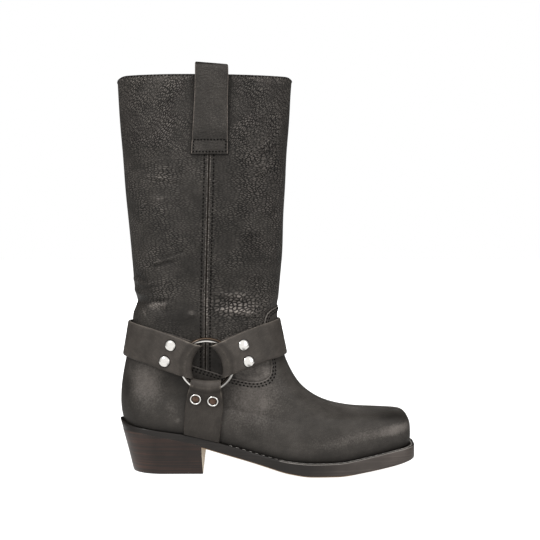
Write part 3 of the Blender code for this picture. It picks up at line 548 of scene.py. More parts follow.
class Sheet:
    """A grid of points with named values at each, that can be cut along a level line."""

    def __init__(self, points, **values):
        tall, wide = points.shape[:2]
        self.names = ["x", "y", "z"] + list(values)
        columns = [np.asarray(v, float).reshape(-1, 1) for v in values.values()]
        self.data = np.concatenate([points.reshape(-1, 3)] + columns, axis=1)
        index = np.arange(tall * wide).reshape(tall, wide)
        self.faces = list(map(tuple, np.stack(
            [index[:-1, :-1], index[:-1, 1:], index[1:, 1:], index[1:, :-1]], axis=-1).reshape(-1, 4)))

    def __getitem__(self, name):
        return self.data[:, self.names.index(name)]

    def add(self, name, value):
        self.names.append(name)
        self.data = np.concatenate([self.data, np.asarray(value, float).reshape(-1, 1)], axis=1)

    def points(self):
        return self.data[:, :3]

    def cut(self, name, level=0.0, keep=True):
        """Split every face along the line where a value has the given level; with keep,
        drop the part below it."""
        above = self[name] - level
        above[np.abs(above) < 1e-4] = 1e-4
        inside = above > 0
        extra, met, faces = [], {}, []
        for face in self.faces:
            marks = [inside[i] for i in face]
            if all(marks):
                faces.append(face)
                continue
            if not any(marks):
                if not keep:
                    faces.append(face)
                continue
            high, low = [], []
            for a, b in zip(face, face[1:] + face[:1]):
                (high if inside[a] else low).append(a)
                if inside[a] != inside[b]:
                    key = (a, b) if a < b else (b, a)
                    if key not in met:
                        met[key] = len(self.data) + len(extra)
                        f = above[a] / (above[a] - above[b])
                        extra.append(self.data[a] + (self.data[b] - self.data[a]) * f)
                    high.append(met[key])
                    low.append(met[key])
            for ring in (high, low)[:1 if keep else 2]:
                if len(ring) > 2:
                    faces.append(tuple(ring))
        if extra:
            self.data = np.concatenate([self.data, np.array(extra)])
        self.faces = faces

    def rim(self, name, level, depth, normals):
        """Wall down from the edge that was cut at a level."""
        used = {}
        for face in self.faces:
            for a, b in zip(face, face[1:] + face[:1]):
                used[(a, b)] = used.get((a, b), 0) + 1
        value = self[name]
        lowered, extra, walls = {}, [], []

        def low(i):
            if i not in lowered:
                lowered[i] = len(self.data) + len(extra)
                copy = self.data[i].copy()
                copy[:3] -= normals[i] * depth
                extra.append(copy)
            return lowered[i]
        for a, b in used:
            if (b, a) not in used and abs(value[a] - level) < 0.02 and abs(value[b] - level) < 0.02:
                walls.append((b, a, low(a), low(b)))
        if extra:
            self.data = np.concatenate([self.data, np.array(extra)])
        self.faces += walls

    def normals(self):
        """Unit normal at each point, from the faces round it."""
        p, n = self.points(), np.zeros((len(self.data), 3))
        for size in sorted({len(f) for f in self.faces}):
            group = np.array([f for f in self.faces if len(f) == size])
            across = np.cross(p[group[:, 2]] - p[group[:, 0]], p[group[:, -1]] - p[group[:, 1]])
            for k in range(size):
                np.add.at(n, group[:, k], across)
        return n / np.maximum(np.linalg.norm(n, axis=1, keepdims=True), 1e-9)

    def piece(self, name, mat, attributes):
        """The sheet as an object; unused points are dropped."""
        seen = np.unique(np.concatenate([np.array(f) for f in self.faces]))
        number = np.full(len(self.data), -1)
        number[seen] = np.arange(len(seen))
        data = self.data[seen]
        faces = [tuple(int(number[i]) for i in f) for f in self.faces]
        values = {key: data[:, self.names.index(key)] for key in attributes}
        flat = np.stack([data[:, self.names.index(key)] for key in ("run", "rise")], axis=1) / 100.0
        return mesh_piece(name, placed(data[:, :3]), faces, mat, values, flat)


def store(mesh, key, values):
    """Keep a value at each point of a mesh."""
    mesh.attributes.new(key, "FLOAT", "POINT").data.foreach_set("value", np.asarray(values, np.float32))


def mesh_piece(name, points, faces, mat, values=None, flat=None):
    """Smooth-shaded object from points in metres, with float attributes and a UV map."""
    mesh = bpy.data.meshes.new(name)
    mesh.from_pydata([tuple(p) for p in points], [], faces)
    for key, value in (values or {}).items():
        store(mesh, key, value)
    if flat is not None:
        corner = np.zeros(len(mesh.loops), int)
        mesh.loops.foreach_get("vertex_index", corner)
        mesh.uv_layers.new(name="laid").data.foreach_set("uv", flat[corner].astype(np.float32).ravel())
    mesh.shade_smooth()
    mesh.materials.append(mat)
    mesh.update()
    piece = bpy.data.objects.new(name, mesh)
    bpy.context.scene.collection.objects.link(piece)
    return piece


def ring_loft(name, rings, mat, values=None, closed=False, flat=None):
    """Skin over rings of points; an open run is capped by a face at each end."""
    rings = np.asarray(rings, float)
    tall, wide = rings.shape[:2]
    index = np.arange(tall * wide).reshape(tall, wide)
    below = index if closed else index[:-1]
    above = np.roll(index, -1, axis=0) if closed else index[1:]
    faces = np.stack([below, np.roll(below, -1, 1), np.roll(above, -1, 1), above], axis=-1).reshape(-1, 4)
    faces = [tuple(int(i) for i in f) for f in faces]
    if not closed:
        faces += [tuple(int(i) for i in index[0][::-1]), tuple(int(i) for i in index[-1])]
    piece = mesh_piece(name, placed(rings.reshape(-1, 3)), faces, mat,
                       {k: np.asarray(v, float).ravel() for k, v in (values or {}).items()}, flat)
    turned = bmesh.new()
    turned.from_mesh(piece.data)
    bmesh.ops.recalc_face_normals(turned, faces=turned.faces)
    turned.to_mesh(piece.data)
    turned.free()
    return piece


def ride(piece, slot, *nodes):
    """Fix a finished piece to the boot, in the place of the named solids."""
    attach(piece, "root")
    if nodes:
        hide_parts(*nodes)


def laid_grid(start, end, ts, columns, crowd=0.0):
    """Points of the upper on columns between two limits of u (functions of t), evenly
    spaced or crowded toward the limits."""
    us, share = [], np.linspace(0, 1, columns)
    share = share - crowd * np.sin(2 * np.pi * share) / (2 * np.pi)
    for t in ts:
        fine = np.linspace(start(t), end(t), 240)
        p = upper_point(fine, np.full(240, t))
        run = lengths(p)
        us.append(np.interp(share * run[-1], run, fine))
    us = np.array(us)
    return us, np.broadcast_to(ts[:, None], us.shape)


def even_rows(low, high, count, columns):
    """Rows t spaced evenly along the average of some columns u."""
    fine = np.linspace(low, high, 400)
    run = np.zeros(400)
    for u in columns:
        step = lengths(upper_point(np.full(400, u), fine))
        run += step / step[-1]
    return np.interp(np.linspace(0, run[-1], count), run, fine)


def side_limit(x_of_z, inner):
    """Function giving, for a row t, the column u where the row crosses a line of the side."""
    def value(t):
        back_x, front_x = girth[2](t), girth[0](t)
        u = 0.5
        for _ in range(4):
            x = x_of_z(float(upper_point(u, t)[2]))
            u = math.acos(float(np.clip(1 - 2 * (x - back_x) / (front_x - back_x), -1, 1))) / math.pi
        return 2 - u if inner else u
    return value


def panel_limits(line_x, front):
    """Limits in u of a front or back panel that ends at a line on each side."""
    outer, inner = side_limit(line_x, False), side_limit(line_x, True)
    return (outer, inner) if front else ((lambda t: inner(t) - 2.0), outer)


def smoothed(points, times):
    """Grid with its ripples smoothed away, its size and its border kept."""
    points = points.copy()
    for turn in range(times):
        mid = points[1:-1, 1:-1]
        around = (points[:-2, 1:-1] + points[2:, 1:-1] + points[1:-1, :-2] + points[1:-1, 2:]) / 4
        points[1:-1, 1:-1] = mid + (0.6 if turn % 2 == 0 else -0.5) * (around - mid)
    return points


def grid_normals(points):
    return unit(np.cross(np.gradient(points, axis=1), np.gradient(points, axis=0)))


def run_lengths(points):
    """Lengths over the grid along its rows, from the middle column, and up its columns."""
    across = np.linalg.norm(np.diff(points, axis=1), axis=-1)
    run = np.concatenate([np.zeros((len(points), 1)), np.cumsum(across, axis=1)], axis=1)
    run -= run[:, [run.shape[1] // 2]]
    up = np.linalg.norm(np.diff(points, axis=0), axis=-1)
    rise = np.concatenate([np.zeros((1, points.shape[1])), np.cumsum(up, axis=0)], axis=0)
    return run, rise - rise[-1:]


# Straps, laid as in the solids

class Band:
    """A flat band laid over the upper between two edge curves. Places on it are given by
    the run along it, a share of the half width across it, and the height off the upper."""

    def __init__(self, one, two, skin):
        one, two = evened(one, 121), evened(two, 121)
        self.middle, self.half = (one + two) / 2, (one - two) / 2
        self.run = lengths(self.middle)
        self.normal = unit(np.cross(self.half, np.gradient(self.middle, axis=0)))
        out = (self.middle - np.array([JOINT_X, 0.0, 0.0])) * np.array([1, 1, 0])
        self.normal *= np.sign(np.sum(self.normal * out, axis=1))[:, None]
        lift = np.zeros(len(self.run))
        for i in range(len(self.run)):
            for v in (-0.7, -0.35, 0.0, 0.35, 0.7):
                p = self.middle[i] + v * self.half[i]
                hit = skin.find_nearest(Vector(p))
                away = Vector(p) - hit[0]
                if away.dot(Vector(self.normal[i])) < 0:
                    lift[i] = max(lift[i], away.length)
        smooth = np.convolve(np.pad(lift, 4, mode="edge"), np.ones(9) / 9, mode="valid")
        self.middle = self.middle + self.normal * np.maximum(lift, smooth)[:, None]

    def at(self, run, v, height):
        def pick(table):
            return np.array([np.interp(run, self.run, table[:, i]) for i in range(3)])
        return pick(self.middle) + v * pick(self.half) + height * unit(pick(self.normal))

    def half_at(self, run):
        return float(np.interp(run, self.run, np.linalg.norm(self.half, axis=1)))


def wrap_band(name, skin):
    """Band of the back or front strap, from the outer ring round to the inner ring."""
    top, top_slope, low, low_slope, bow = STRAP_EDGES[name]
    slope = (top_slope + low_slope) / 2
    lean = slope / math.hypot(1, slope)
    half = (top - low + (top_slope - low_slope) * RING_X) / 2 * math.cos(math.atan(slope))
    edges = []
    for height, tilt, side in ((top, top_slope, 1), (low, low_slope, -1)):
        def edge_z(x):
            share = np.clip((x - RING_X) / STRAP_SPAN[name], 0, 1)
            return height + tilt * x + bow * np.sin(np.pi * share)
        us = np.linspace(-0.7, 0.7, 241) if name == "back" else np.linspace(0.3, 1.7, 241)
        points = upper_point(us, row_on_line(us, edge_z))
        start = RING_X - side * half * lean
        keep = points[:, 0] < start if name == "back" else points[:, 0] > start
        edges.append(points[keep])
    if name == "back":
        edges = [points[::-1] for points in edges]
    return Band(edges[0], edges[1], skin)


def side_band(inner, skin):
    """Band of the short strap from the ring down to the welt."""
    table = np.array(SIDE_STRAP)[::-1]
    edges = []
    for column in (1, 2):
        edge_x = smooth_curve(table[:, 0], table[:, column])
        low = sole_top(edge_x(38.0)) + 1.6
        edges.append(np.array([upper_point(*point_on_side(float(edge_x(z)), z, inner))
                               for z in np.linspace(RING_Z, low, 41)]))
    return Band(edges[0], edges[1], skin)


def ring_frame(inner):
    """Middle of the ring's wire circle and the normal of its plane."""
    point, normal = side_place(RING_X, RING_Z, inner)
    return point + normal * RING_STAND + np.array([0, 0, RING_LIFT]), normal


def fold_path(band, run_of, ring, normal, kind, v):
    """Path of a strap end doubled round the ring, at a share v of the half width. Each
    station gives run and height of the face inside the fold, then of the face outside."""
    along = band.at(run_of(RING_RADIUS), 0, 0) - band.at(run_of(0), 0, 0)
    along = unit(along - normal * along.dot(normal))
    across = band.at(run_of(RING_RADIUS), 1, 0) - band.at(run_of(RING_RADIUS), -1, 0)
    across = unit(across - normal * across.dot(normal) - along * across.dot(along))
    near, far = WIRE_RADIUS + GAP, WIRE_RADIUS + GAP + STRAP_THICK
    rivets, sag = RIVET_ROWS[kind], FOLD_SAG[kind]

    def meet(run, short):
        """Run at which this line of the strap is that far short of the wire."""
        for _ in range(6):
            share = v * FOLD_HALF[kind] / band.half_at(run_of(run))
            here = band.at(run_of(run), share, 0)
            side = float((here - ring).dot(across))
            wire = ring + along * (math.sqrt(RING_RADIUS ** 2 - side ** 2) - short) + across * side
            run += float((wire - here).dot(along))
        return run, float((wire - here).dot(band.at(run_of(run), share, 1) - here))
    reach, stand = meet(RING_RADIUS, 0.0)
    bend = meet(reach, FOLD_SLACK[kind] + sag * (1 - v * v) + near)[0] + near
    stack = LAY + STRAP_THICK + GAP
    slope = 0.3 * (stand + near - stack)
    low = max(stand - far, LAY)

    def layer(run, height, thick=STRAP_THICK):
        return run, height, run, height + thick
    path = [layer(rivets + 7.5, LAY + STRAP_THICK, -STRAP_THICK),
            layer(rivets, LAY + STRAP_THICK, -STRAP_THICK),
            layer(rivets - 6, LAY + STRAP_THICK, -STRAP_THICK),
            layer(bend + 3.2, low + STRAP_THICK, -STRAP_THICK)]
    for angle in (-90, -135, 180, 135, 90):
        c, s = direction(angle)
        path.append((bend + near * c, stand + near * s, bend + far * c, stand + far * s))
    path += [layer(max(bend, reach) + 1.6, stand + near),
             layer(rivets - RIVET_FLAT, stack + slope),
             layer(rivets + RIVET_FLAT, stack + 0.2),
             layer(rivets + 9, stack),
             layer(rivets + 17, LAY)]
    return path


# Places across a strap and how far its face is rounded down there
ACROSS = ((1.0, 0.95), (0.985, 0.42), (0.955, 0.12), (0.9, 0.0), (0.72, 0.0), (0.5, 0.0), (0.25, 0.0),
          (0.0, 0.0))
SECTION = [(-v, d) for v, d in ACROSS] + list(ACROSS)[-2::-1]
SECTION_AT = np.array([v for v, _ in SECTION])


def strap_faces(band, path_of, run_of, kind):
    """Lines of points along a strap, for each place across it: inner face, outer face."""
    lines = []
    for v, drop in SECTION:
        one, two = [], []
        for run_in, height_in, run_out, height_out in path_of(v):
            thick = unit(np.array([run_out - run_in, height_out - height_in]))
            ends = ((one, run_in + thick[0] * drop * 0.3, height_in + thick[1] * drop * 0.3),
                    (two, run_out - thick[0] * drop, height_out - thick[1] * drop))
            for store, run, height in ends:
                fold = FOLD_HALF[kind] / band.half_at(run_of(run))
                ease = np.clip((run - 17) / 11, 0, 1)
                share = fold + (1 - fold) * ease * ease * (3 - 2 * ease)
                store.append(band.at(run_of(run), v * share, height))
        lines.append((np.array(one), np.array(two)))
    return lines


def band_rings(lines, times=0):
    """Rings round a band, from its lines of the inner and outer face with their corners cut."""
    inside, outside = ([softened(rounded(line[k]), times) for line in lines] for k in (0, 1))
    return np.swapaxes(np.array(inside + outside[::-1]), 0, 1)


def band_edges(rings, amount):
    """Lighter edges of a band's outer face: rubbing and painted highlight."""
    wear = np.clip((np.abs(SECTION_AT) - 0.93) / 0.07, 0, None) * amount
    return np.broadcast_to(np.concatenate([wear * 0, wear[::-1]]), rings.shape[:2])


def band_piece(name, rings, mat, values, upright=False):
    """A band skinned over its rings, on a flat map along its length."""
    across = np.concatenate([SECTION_AT, SECTION_AT[::-1]])[None, :] * 16.0
    run = lengths(rings.mean(axis=1))[:, None]
    flat = np.broadcast_arrays(*((across, run) if upright else (run, across)))
    piece = ring_loft(name, rings, mat, values, flat=np.stack(flat, axis=-1).reshape(-1, 2) / 100.0)
    piece.data.set_sharp_from_angle(angle=math.radians(50))
    return piece


def strap_piece(name, lines, mat, solid):
    """Strap skinned over its lines, with lighter edges, and painted highlight and shade bands beside the ring.
    """
    rings = band_rings(lines, 10)
    middle = rings.mean(axis=1)
    run = lengths(middle)
    away = np.full(len(run), 1e3)
    for inner in (False, True):
        gap = np.linalg.norm(middle - ring_frame(inner)[0], axis=1)
        if gap.min() < RING_RADIUS:
            away = np.minimum(away, np.abs(run - run[np.argmin(gap)]))
    # painted highlight bands beside the fold at the ring, with a band of painted shade between them; the side
    # straps get painted shade lower down
    wear = band_edges(rings, 0.6) + (0.42 * hump(away, 7, 1.7) + 0.36 * hump(away, 15, 2.4))[:, None]
    lower = 0.3 * np.clip((away - 14) / 8, 0, 1) * ("side" in name)
    shade = np.broadcast_to(np.maximum(0.35 * hump(away, 11, 2.0), lower)[:, None], wear.shape)
    piece = band_piece(name, rings, mat, {"wear": wear, "shade": shade, "grain": wear * 0})
    ride(piece, "strap_leather", solid)


def under_skin():
    """Surface of the upper that the straps lie on."""
    us, ts = np.linspace(0, 2, 161), np.linspace(0, LAST_ROW, 150)
    points = upper_point(us[:, None], ts[None, :]).reshape(-1, 3)
    wide = len(ts)
    faces = [(i * wide + j, (i + 1) * wide + j, (i + 1) * wide + j + 1, i * wide + j + 1)
             for i in range(len(us) - 1) for j in range(wide - 1)]
    return BVHTree.FromPolygons([Vector(p) for p in points], faces)


# Node trees

def node(tree, kind, inputs=None, **settings):
    """Add a node; inputs maps socket names or numbers to values or to other sockets."""
    made = tree.nodes.new(kind)
    for key, value in settings.items():
        setattr(made, key, value)
    for key, value in (inputs or {}).items():
        if isinstance(value, bpy.types.NodeSocket):
            tree.links.new(value, made.inputs[key])
        else:
            made.inputs[key].default_value = value
    return made


def maths(tree, operation, *values):
    return node(tree, "ShaderNodeMath", dict(enumerate(values)), operation=operation).outputs[0]


def blend(tree, factor, a, b):
    """Mix of two colours."""
    return node(tree, "ShaderNodeMix", {0: factor, 6: a, 7: b}, data_type="RGBA").outputs[2]


def ramp(tree, value, low, high, to_low=0.0, to_high=1.0):
    """Value spread smoothly from one range to another."""
    made = node(tree, "ShaderNodeMapRange", {0: value, 1: low, 2: high, 3: to_low, 4: to_high},
                interpolation_type="SMOOTHSTEP")
    return made.outputs[0]


def noise(tree, vector, scale, detail=2.0, rough=0.55):
    made = node(tree, "ShaderNodeTexNoise", {"Vector": vector, "Scale": scale, "Detail": detail,
                                             "Roughness": rough})
    return made.outputs["Fac"]


def stretched(tree, vector, angle, along, across):
    """Flat map turned and drawn out."""
    made = node(tree, "ShaderNodeMapping", {"Vector": vector, "Rotation": (0, 0, angle),
                                            "Scale": (along, across, 1)}, vector_type="TEXTURE")
    return made.outputs[0]


def cell_edges(tree, vector, scale, random):
    """Distance from the edges of flat cells."""
    made = node(tree, "ShaderNodeTexVoronoi", {"Vector": vector, "Scale": scale, "Randomness": random},
                voronoi_dimensions="2D", feature="DISTANCE_TO_EDGE")
    return made.outputs["Distance"]


def scaled(tree, vector, factor):
    return node(tree, "ShaderNodeVectorMath", {0: vector, 3: factor}, operation="SCALE").outputs[0]


def attribute(tree, key):
    return node(tree, "ShaderNodeAttribute", attribute_name=key).outputs["Fac"]


def object_place(tree):
    return node(tree, "ShaderNodeTexCoord").outputs["Object"]


def relief_normal(tree, height, strength, depth):
    """Normal of a relief whose depth is in millimetres."""
    return node(tree, "ShaderNodeBump", {"Strength": strength, "Distance": depth * MM,
                                         "Height": height}).outputs[0]


def dress(tree, shader, **sockets):
    """Link values to the inputs of a shader."""
    for key, value in sockets.items():
        tree.links.new(value, shader.inputs[key.replace("_", " ")])


def rgba(colour, share=1.0):
    """Colour of a socket, darker or lighter by a share."""
    return tuple(c * share for c in colour) + (1.0,)


def new_tree(name, kind, inputs, outputs):
    """Node tree with sockets given as labels and types, and its two end nodes."""
    tree = bpy.data.node_groups.new(name, kind)
    for way, sockets in (("INPUT", inputs), ("OUTPUT", outputs)):
        for label, socket in sockets.items():
            tree.interface.new_socket(label, in_out=way, socket_type="NodeSocket" + socket)
    return tree, tree.nodes.new("NodeGroupInput"), tree.nodes.new("NodeGroupOutput")


def grain_group(name):
    """Leather relief: fine grain that leans toward the top, pebbles, pores and wrinkles; its Shading output
    paints the cells lighter and the valleys darker, as painted highlight and shade.
    """
    tree, source, sink = new_tree(name, "ShaderNodeTree", {
        "Vector": "Vector", "Fine": "Float", "Pebbles": "Float", "Pores": "Float", "Wrinkles": "Float",
    }, {"Height": "Float", "Tone": "Float"})
    place = source.outputs["Vector"]
    drift = node(tree, "ShaderNodeTexNoise", {"Vector": place, "Scale": 7.0, "Detail": 2.0})
    moved = node(tree, "ShaderNodeVectorMath", {0: drift.outputs["Color"], 1: (0.05, 0.05, 0.05)},
                 operation="MULTIPLY")
    warped = node(tree, "ShaderNodeVectorMath", {0: place, 1: moved.outputs[0]}, operation="ADD").outputs[0]

    def cells(angle, long, wide, scale):
        """Rounded cells drawn out along a direction."""
        return ramp(tree, cell_edges(tree, stretched(tree, warped, angle, long, wide), scale, 0.95), 0.0, 0.38)
    height = node(tree, "ShaderNodeSeparateXYZ", {0: place}).outputs[1]
    height = maths(tree, "MULTIPLY_ADD", noise(tree, place, 3.5), 0.7, height)
    lower = ramp(tree, height, -0.05, -0.6)
    patchy = ramp(tree, noise(tree, place, 4.2, 3.0), 0.36, 0.66, 0.35, 1.15)
    steep, flat = cells(0.85, 1.8, 0.78, 48.0), cells(-0.04, 1.9, 0.74, 48.0)
    fine = maths(tree, "MULTIPLY_ADD", maths(tree, "SUBTRACT", flat, steep), lower, steep)
    coarse = cells(0.12, 1.25, 0.85, 29.0)
    amount, pebbles = maths(tree, "MULTIPLY", source.outputs["Fine"], patchy), source.outputs["Pebbles"]
    # painted highlight and shade: cells lighter, the valleys between them darker
    grain_shading = maths(tree, "MULTIPLY_ADD", ramp(tree, fine, 0.1, 1.0, -0.85, 1.85), amount, 1.0)
    grain_shading = maths(tree, "MULTIPLY_ADD", ramp(tree, coarse, 0.15, 1.0, -0.8, 2.1), pebbles, grain_shading)
    pores = ramp(tree, cell_edges(tree, warped, 78.0, 1.0), 0.0, 0.3)
    lines = noise(tree, stretched(tree, warped, 0.3, 0.10, 0.03), 1.0, 3.0)
    wrinkles = ramp(tree, maths(tree, "ABSOLUTE", maths(tree, "SUBTRACT", lines, 0.5)), 0.0, 0.14)
    total = maths(tree, "MULTIPLY", fine, amount)
    for value, label in ((coarse, "Pebbles"), (pores, "Pores"), (wrinkles, "Wrinkles")):
        total = maths(tree, "MULTIPLY_ADD", value, source.outputs[label], total)
    dress(tree, sink, Height=total, Tone=maths(tree, "MAXIMUM", grain_shading, 0.15))
    return tree


def rubbing_and_highlight_group(name):
    """Broken-up rubbing and painted highlight of a surface: a mask from a painted value and noise."""
    tree, source, sink = new_tree(name, "ShaderNodeTree", {
        "Vector": "Vector", "Amount": "Float", "Scale": "Float"}, {"Mask": "Float", "Cloud": "Float"})
    place, amount, scale = (source.outputs[label] for label in ("Vector", "Amount", "Scale"))
    level = maths(tree, "ADD", maths(tree, "MULTIPLY", noise(tree, place, scale, 5.0, 0.7), 0.9), amount)
    dress(tree, sink, Mask=ramp(tree, level, 0.72, 1.35), Cloud=noise(tree, place, 2.6, 3.0))
    return tree


def kept_tree(name, maker):
    """A node tree made once."""
    return bpy.data.node_groups.get(name) or maker(name)


def new_material(name, **values):
    mat = bpy.data.materials.new(name)
    mat.use_nodes = True
    shader = mat.node_tree.nodes["Principled BSDF"]
    for key, value in values.items():
        shader.inputs[key.replace("_", " ")].default_value = value
    return mat, mat.node_tree, shader


def leather(name, colour, rubbed, rough=0.5, pores=0.3, wrinkles=0.0, depth=0.35, spread=0.3, mottle=0.15,
            speckle=24.0, solid=False):
    """Waxed leather on the piece's own flat map, or on its place in the boot; grain, pebble,
    rubbing with painted highlights, and painted shade are painted on it."""
    mat, tree, shader = new_material(name, Specular_IOR_Level=0.15)
    flat = node(tree, "ShaderNodeUVMap", uv_map="laid").outputs[0]
    if solid:
        place = node(tree, "ShaderNodeSeparateXYZ", {0: object_place(tree)}).outputs
        side = node(tree, "ShaderNodeCombineXYZ", {0: place[0], 1: place[2], 2: place[1]}).outputs[0]
        flat = scaled(tree, side, 10.0)
    grain, pebble, wear, shade = (attribute(tree, key) for key in PAINTED)
    relief = node(tree, "ShaderNodeGroup", node_tree=kept_tree("hide grain", grain_group))
    rubbing_and_highlight = node(tree, "ShaderNodeGroup", node_tree=kept_tree("rubbed wear", rubbing_and_highlight_group))
    dress(tree, relief, Vector=flat, Fine=grain, Pebbles=pebble)
    dress(tree, rubbing_and_highlight, Vector=flat, Amount=wear)
    relief.inputs["Pores"].default_value, relief.inputs["Wrinkles"].default_value = pores, wrinkles
    rubbing_and_highlight.inputs["Scale"].default_value = speckle
    height, grain_shading, cloud = relief.outputs["Height"], relief.outputs["Tone"], rubbing_and_highlight.outputs["Cloud"]
    base = blend(tree, ramp(tree, cloud, 0.3, 0.7), rgba(colour, 1 - spread), rgba(colour, 1 + spread))
    base = blend(tree, rubbing_and_highlight.outputs["Mask"], base, rgba(rubbed))
    patch = ramp(tree, noise(tree, flat, 9.0, 5.0, 0.6), 0.3, 0.7, 1 - mottle, 1 + mottle)
    # painted shade in the valleys of the relief
    valley_shade = maths(tree, "MULTIPLY", grain_shading, ramp(tree, height, 0.0, 0.3, 0.75, 1.0))
    base = scaled(tree, base, maths(tree, "MULTIPLY", patch, valley_shade))
    # painted shade: the colour drawn toward near black
    dress(tree, shader, Base_Color=blend(tree, shade, base, (0.004, 0.0035, 0.003, 1.0)),
          Roughness=ramp(tree, cloud, 0.25, 0.75, rough - 0.07, rough + 0.08),
          Normal=relief_normal(tree, height, 1.0, depth))
    return mat


def streaked(name, colour, streak, rough, per_metre, fore=1.0, gloss=0.33, aft=1.0):
    """Dressed sole leather: fine lines along the layers; fore brightens its front end, and aft is painted light
    on its back end.
    """
    mat, tree, shader = new_material(name, Specular_IOR_Level=gloss)
    place = object_place(tree)
    long = node(tree, "ShaderNodeMapping", {"Vector": place, "Scale": (12.0, 12.0, per_metre)}).outputs[0]
    lines = noise(tree, long, 1.0, 3.0, 0.6)
    cloud = noise(tree, place, 60.0, 3.0)
    base = blend(tree, ramp(tree, lines, 0.4, 0.72), rgba(colour), rgba(streak))
    base = blend(tree, ramp(tree, cloud, 0.3, 0.75, 0.0, 0.5), base, rgba(colour, 0.55))
    along = node(tree, "ShaderNodeSeparateXYZ", {0: place}).outputs[0]
    # fore brightens the front end; aft is painted light on the back end
    ends = maths(tree, "MULTIPLY", ramp(tree, along, 0.03, 0.1, 1.0, fore),
                 ramp(tree, along, -0.126, -0.1, aft, 1.0))
    dress(tree, shader, Base_Color=scaled(tree, base, ends),
          Roughness=ramp(tree, cloud, 0.2, 0.8, rough - 0.06, rough + 0.08),
          Normal=relief_normal(tree, lines, 0.6, 0.12))
    return mat


def plain_leather(name, colour, rough):
    """Natural undyed leather with faint fibres."""
    mat, tree, shader = new_material(name, Specular_IOR_Level=0.3)
    place = object_place(tree)
    fibre, cloud = noise(tree, place, 700.0, 4.0), noise(tree, place, 45.0, 2.0)
    dress(tree, shader, Base_Color=blend(tree, ramp(tree, cloud, 0.3, 0.7), rgba(colour, 0.85), rgba(colour)),
          Roughness=ramp(tree, fibre, 0.2, 0.8, rough - 0.08, rough + 0.08),
          Normal=relief_normal(tree, fibre, 0.5, 0.1))
    return mat


def metal(name, colour, rough, worn):
    """Plated metal with handling marks; painted shade and painted reflection go on it, black at a half and
    brown at one.
    """
    mat, tree, shader = new_material(name, Metallic=1.0)
    marks, patina = noise(tree, object_place(tree), 420.0, 3.0), attribute(tree, "patina")
    base = blend(tree, ramp(tree, marks, 0.35, 0.8), rgba(colour), rgba(colour, worn))
    base = blend(tree, ramp(tree, patina, 0.0, 0.5), base, (0.03, 0.025, 0.022, 1.0))
    base = blend(tree, ramp(tree, patina, 0.5, 1.0), base, (0.34, 0.24, 0.17, 1.0))
    dress(tree, shader, Base_Color=base, Roughness=ramp(tree, marks, 0.2, 0.85, rough * 0.8, rough * 1.5))
    return mat


def thread(name, colour):
    """Waxed thread, twisted."""
    mat, tree, shader = new_material(name, Roughness=0.7, Specular_IOR_Level=0.1)
    twist = node(tree, "ShaderNodeTexWave", {"Vector": object_place(tree), "Scale": 420.0, "Distortion": 2.0},
                 wave_type="BANDS", bands_direction="DIAGONAL").outputs["Fac"]
    dress(tree, shader, Base_Color=blend(tree, twist, rgba(colour, 0.6), rgba(colour)),
          Normal=relief_normal(tree, twist, 0.4, 0.1))
    return mat


def put_out(tree, sink, laid, mat):
    """Make instances real, give them their material and end the tree."""
    real = node(tree, "GeometryNodeRealizeInstances", {"Geometry": laid.outputs[0]})
    done = node(tree, "GeometryNodeSetMaterial", {"Geometry": real.outputs[0], "Material": mat})
    tree.links.new(done.outputs[0], sink.inputs[0])
    return tree


def stitch_tree(name):
    """Stitches laid end to end along each line of a mesh."""
    tree, source, sink = new_tree(name, "GeometryNodeTree", {
        "Geometry": "Geometry", "Pitch": "Float", "Length": "Float", "Radius": "Float", "Thread": "Material",
    }, {"Geometry": "Geometry"})
    lines, pitch, length, radius, mat = source.outputs[:5]
    row = node(tree, "GeometryNodeMeshToCurve", {"Mesh": lines})
    even = node(tree, "GeometryNodeResampleCurve", {"Curve": row.outputs[0], "Length": pitch}, mode="LENGTH")
    bead = node(tree, "GeometryNodeMeshUVSphere", {"Segments": 8, "Rings": 6, "Radius": 1.0})
    half = maths(tree, "MULTIPLY", length, 0.5)
    size = node(tree, "ShaderNodeCombineXYZ", {0: half, 1: radius, 2: radius})
    shaped = node(tree, "GeometryNodeTransform", {"Geometry": bead.outputs[0], "Scale": size.outputs[0]})
    soft = node(tree, "GeometryNodeSetShadeSmooth", {"Geometry": shaped.outputs[0]})
    way = node(tree, "GeometryNodeInputTangent")
    turn = node(tree, "FunctionNodeAlignRotationToVector", {"Vector": way.outputs[0]}, axis="X")
    laid = node(tree, "GeometryNodeInstanceOnPoints", {
        "Points": even.outputs[0], "Instance": soft.outputs[0], "Rotation": turn.outputs[0]})
    return put_out(tree, sink, laid, mat)


def rivet_tree(name):
    """A fitting set on each point of a mesh, turned to the direction stored there."""
    tree, source, sink = new_tree(name, "GeometryNodeTree", {
        "Geometry": "Geometry", "Fitting": "Object", "Size": "Float", "Metal": "Material",
    }, {"Geometry": "Geometry"})
    points, fitting, size, mat = source.outputs[:4]
    shape = node(tree, "GeometryNodeObjectInfo", {"Object": fitting})
    facing = node(tree, "GeometryNodeInputNamedAttribute", {"Name": "facing"}, data_type="FLOAT_VECTOR")
    turn = node(tree, "FunctionNodeAlignRotationToVector", {"Vector": facing.outputs["Attribute"]}, axis="Z")
    laid = node(tree, "GeometryNodeInstanceOnPoints", {
        "Points": points, "Instance": shape.outputs["Geometry"], "Rotation": turn.outputs[0], "Scale": size})
    return put_out(tree, sink, laid, mat)


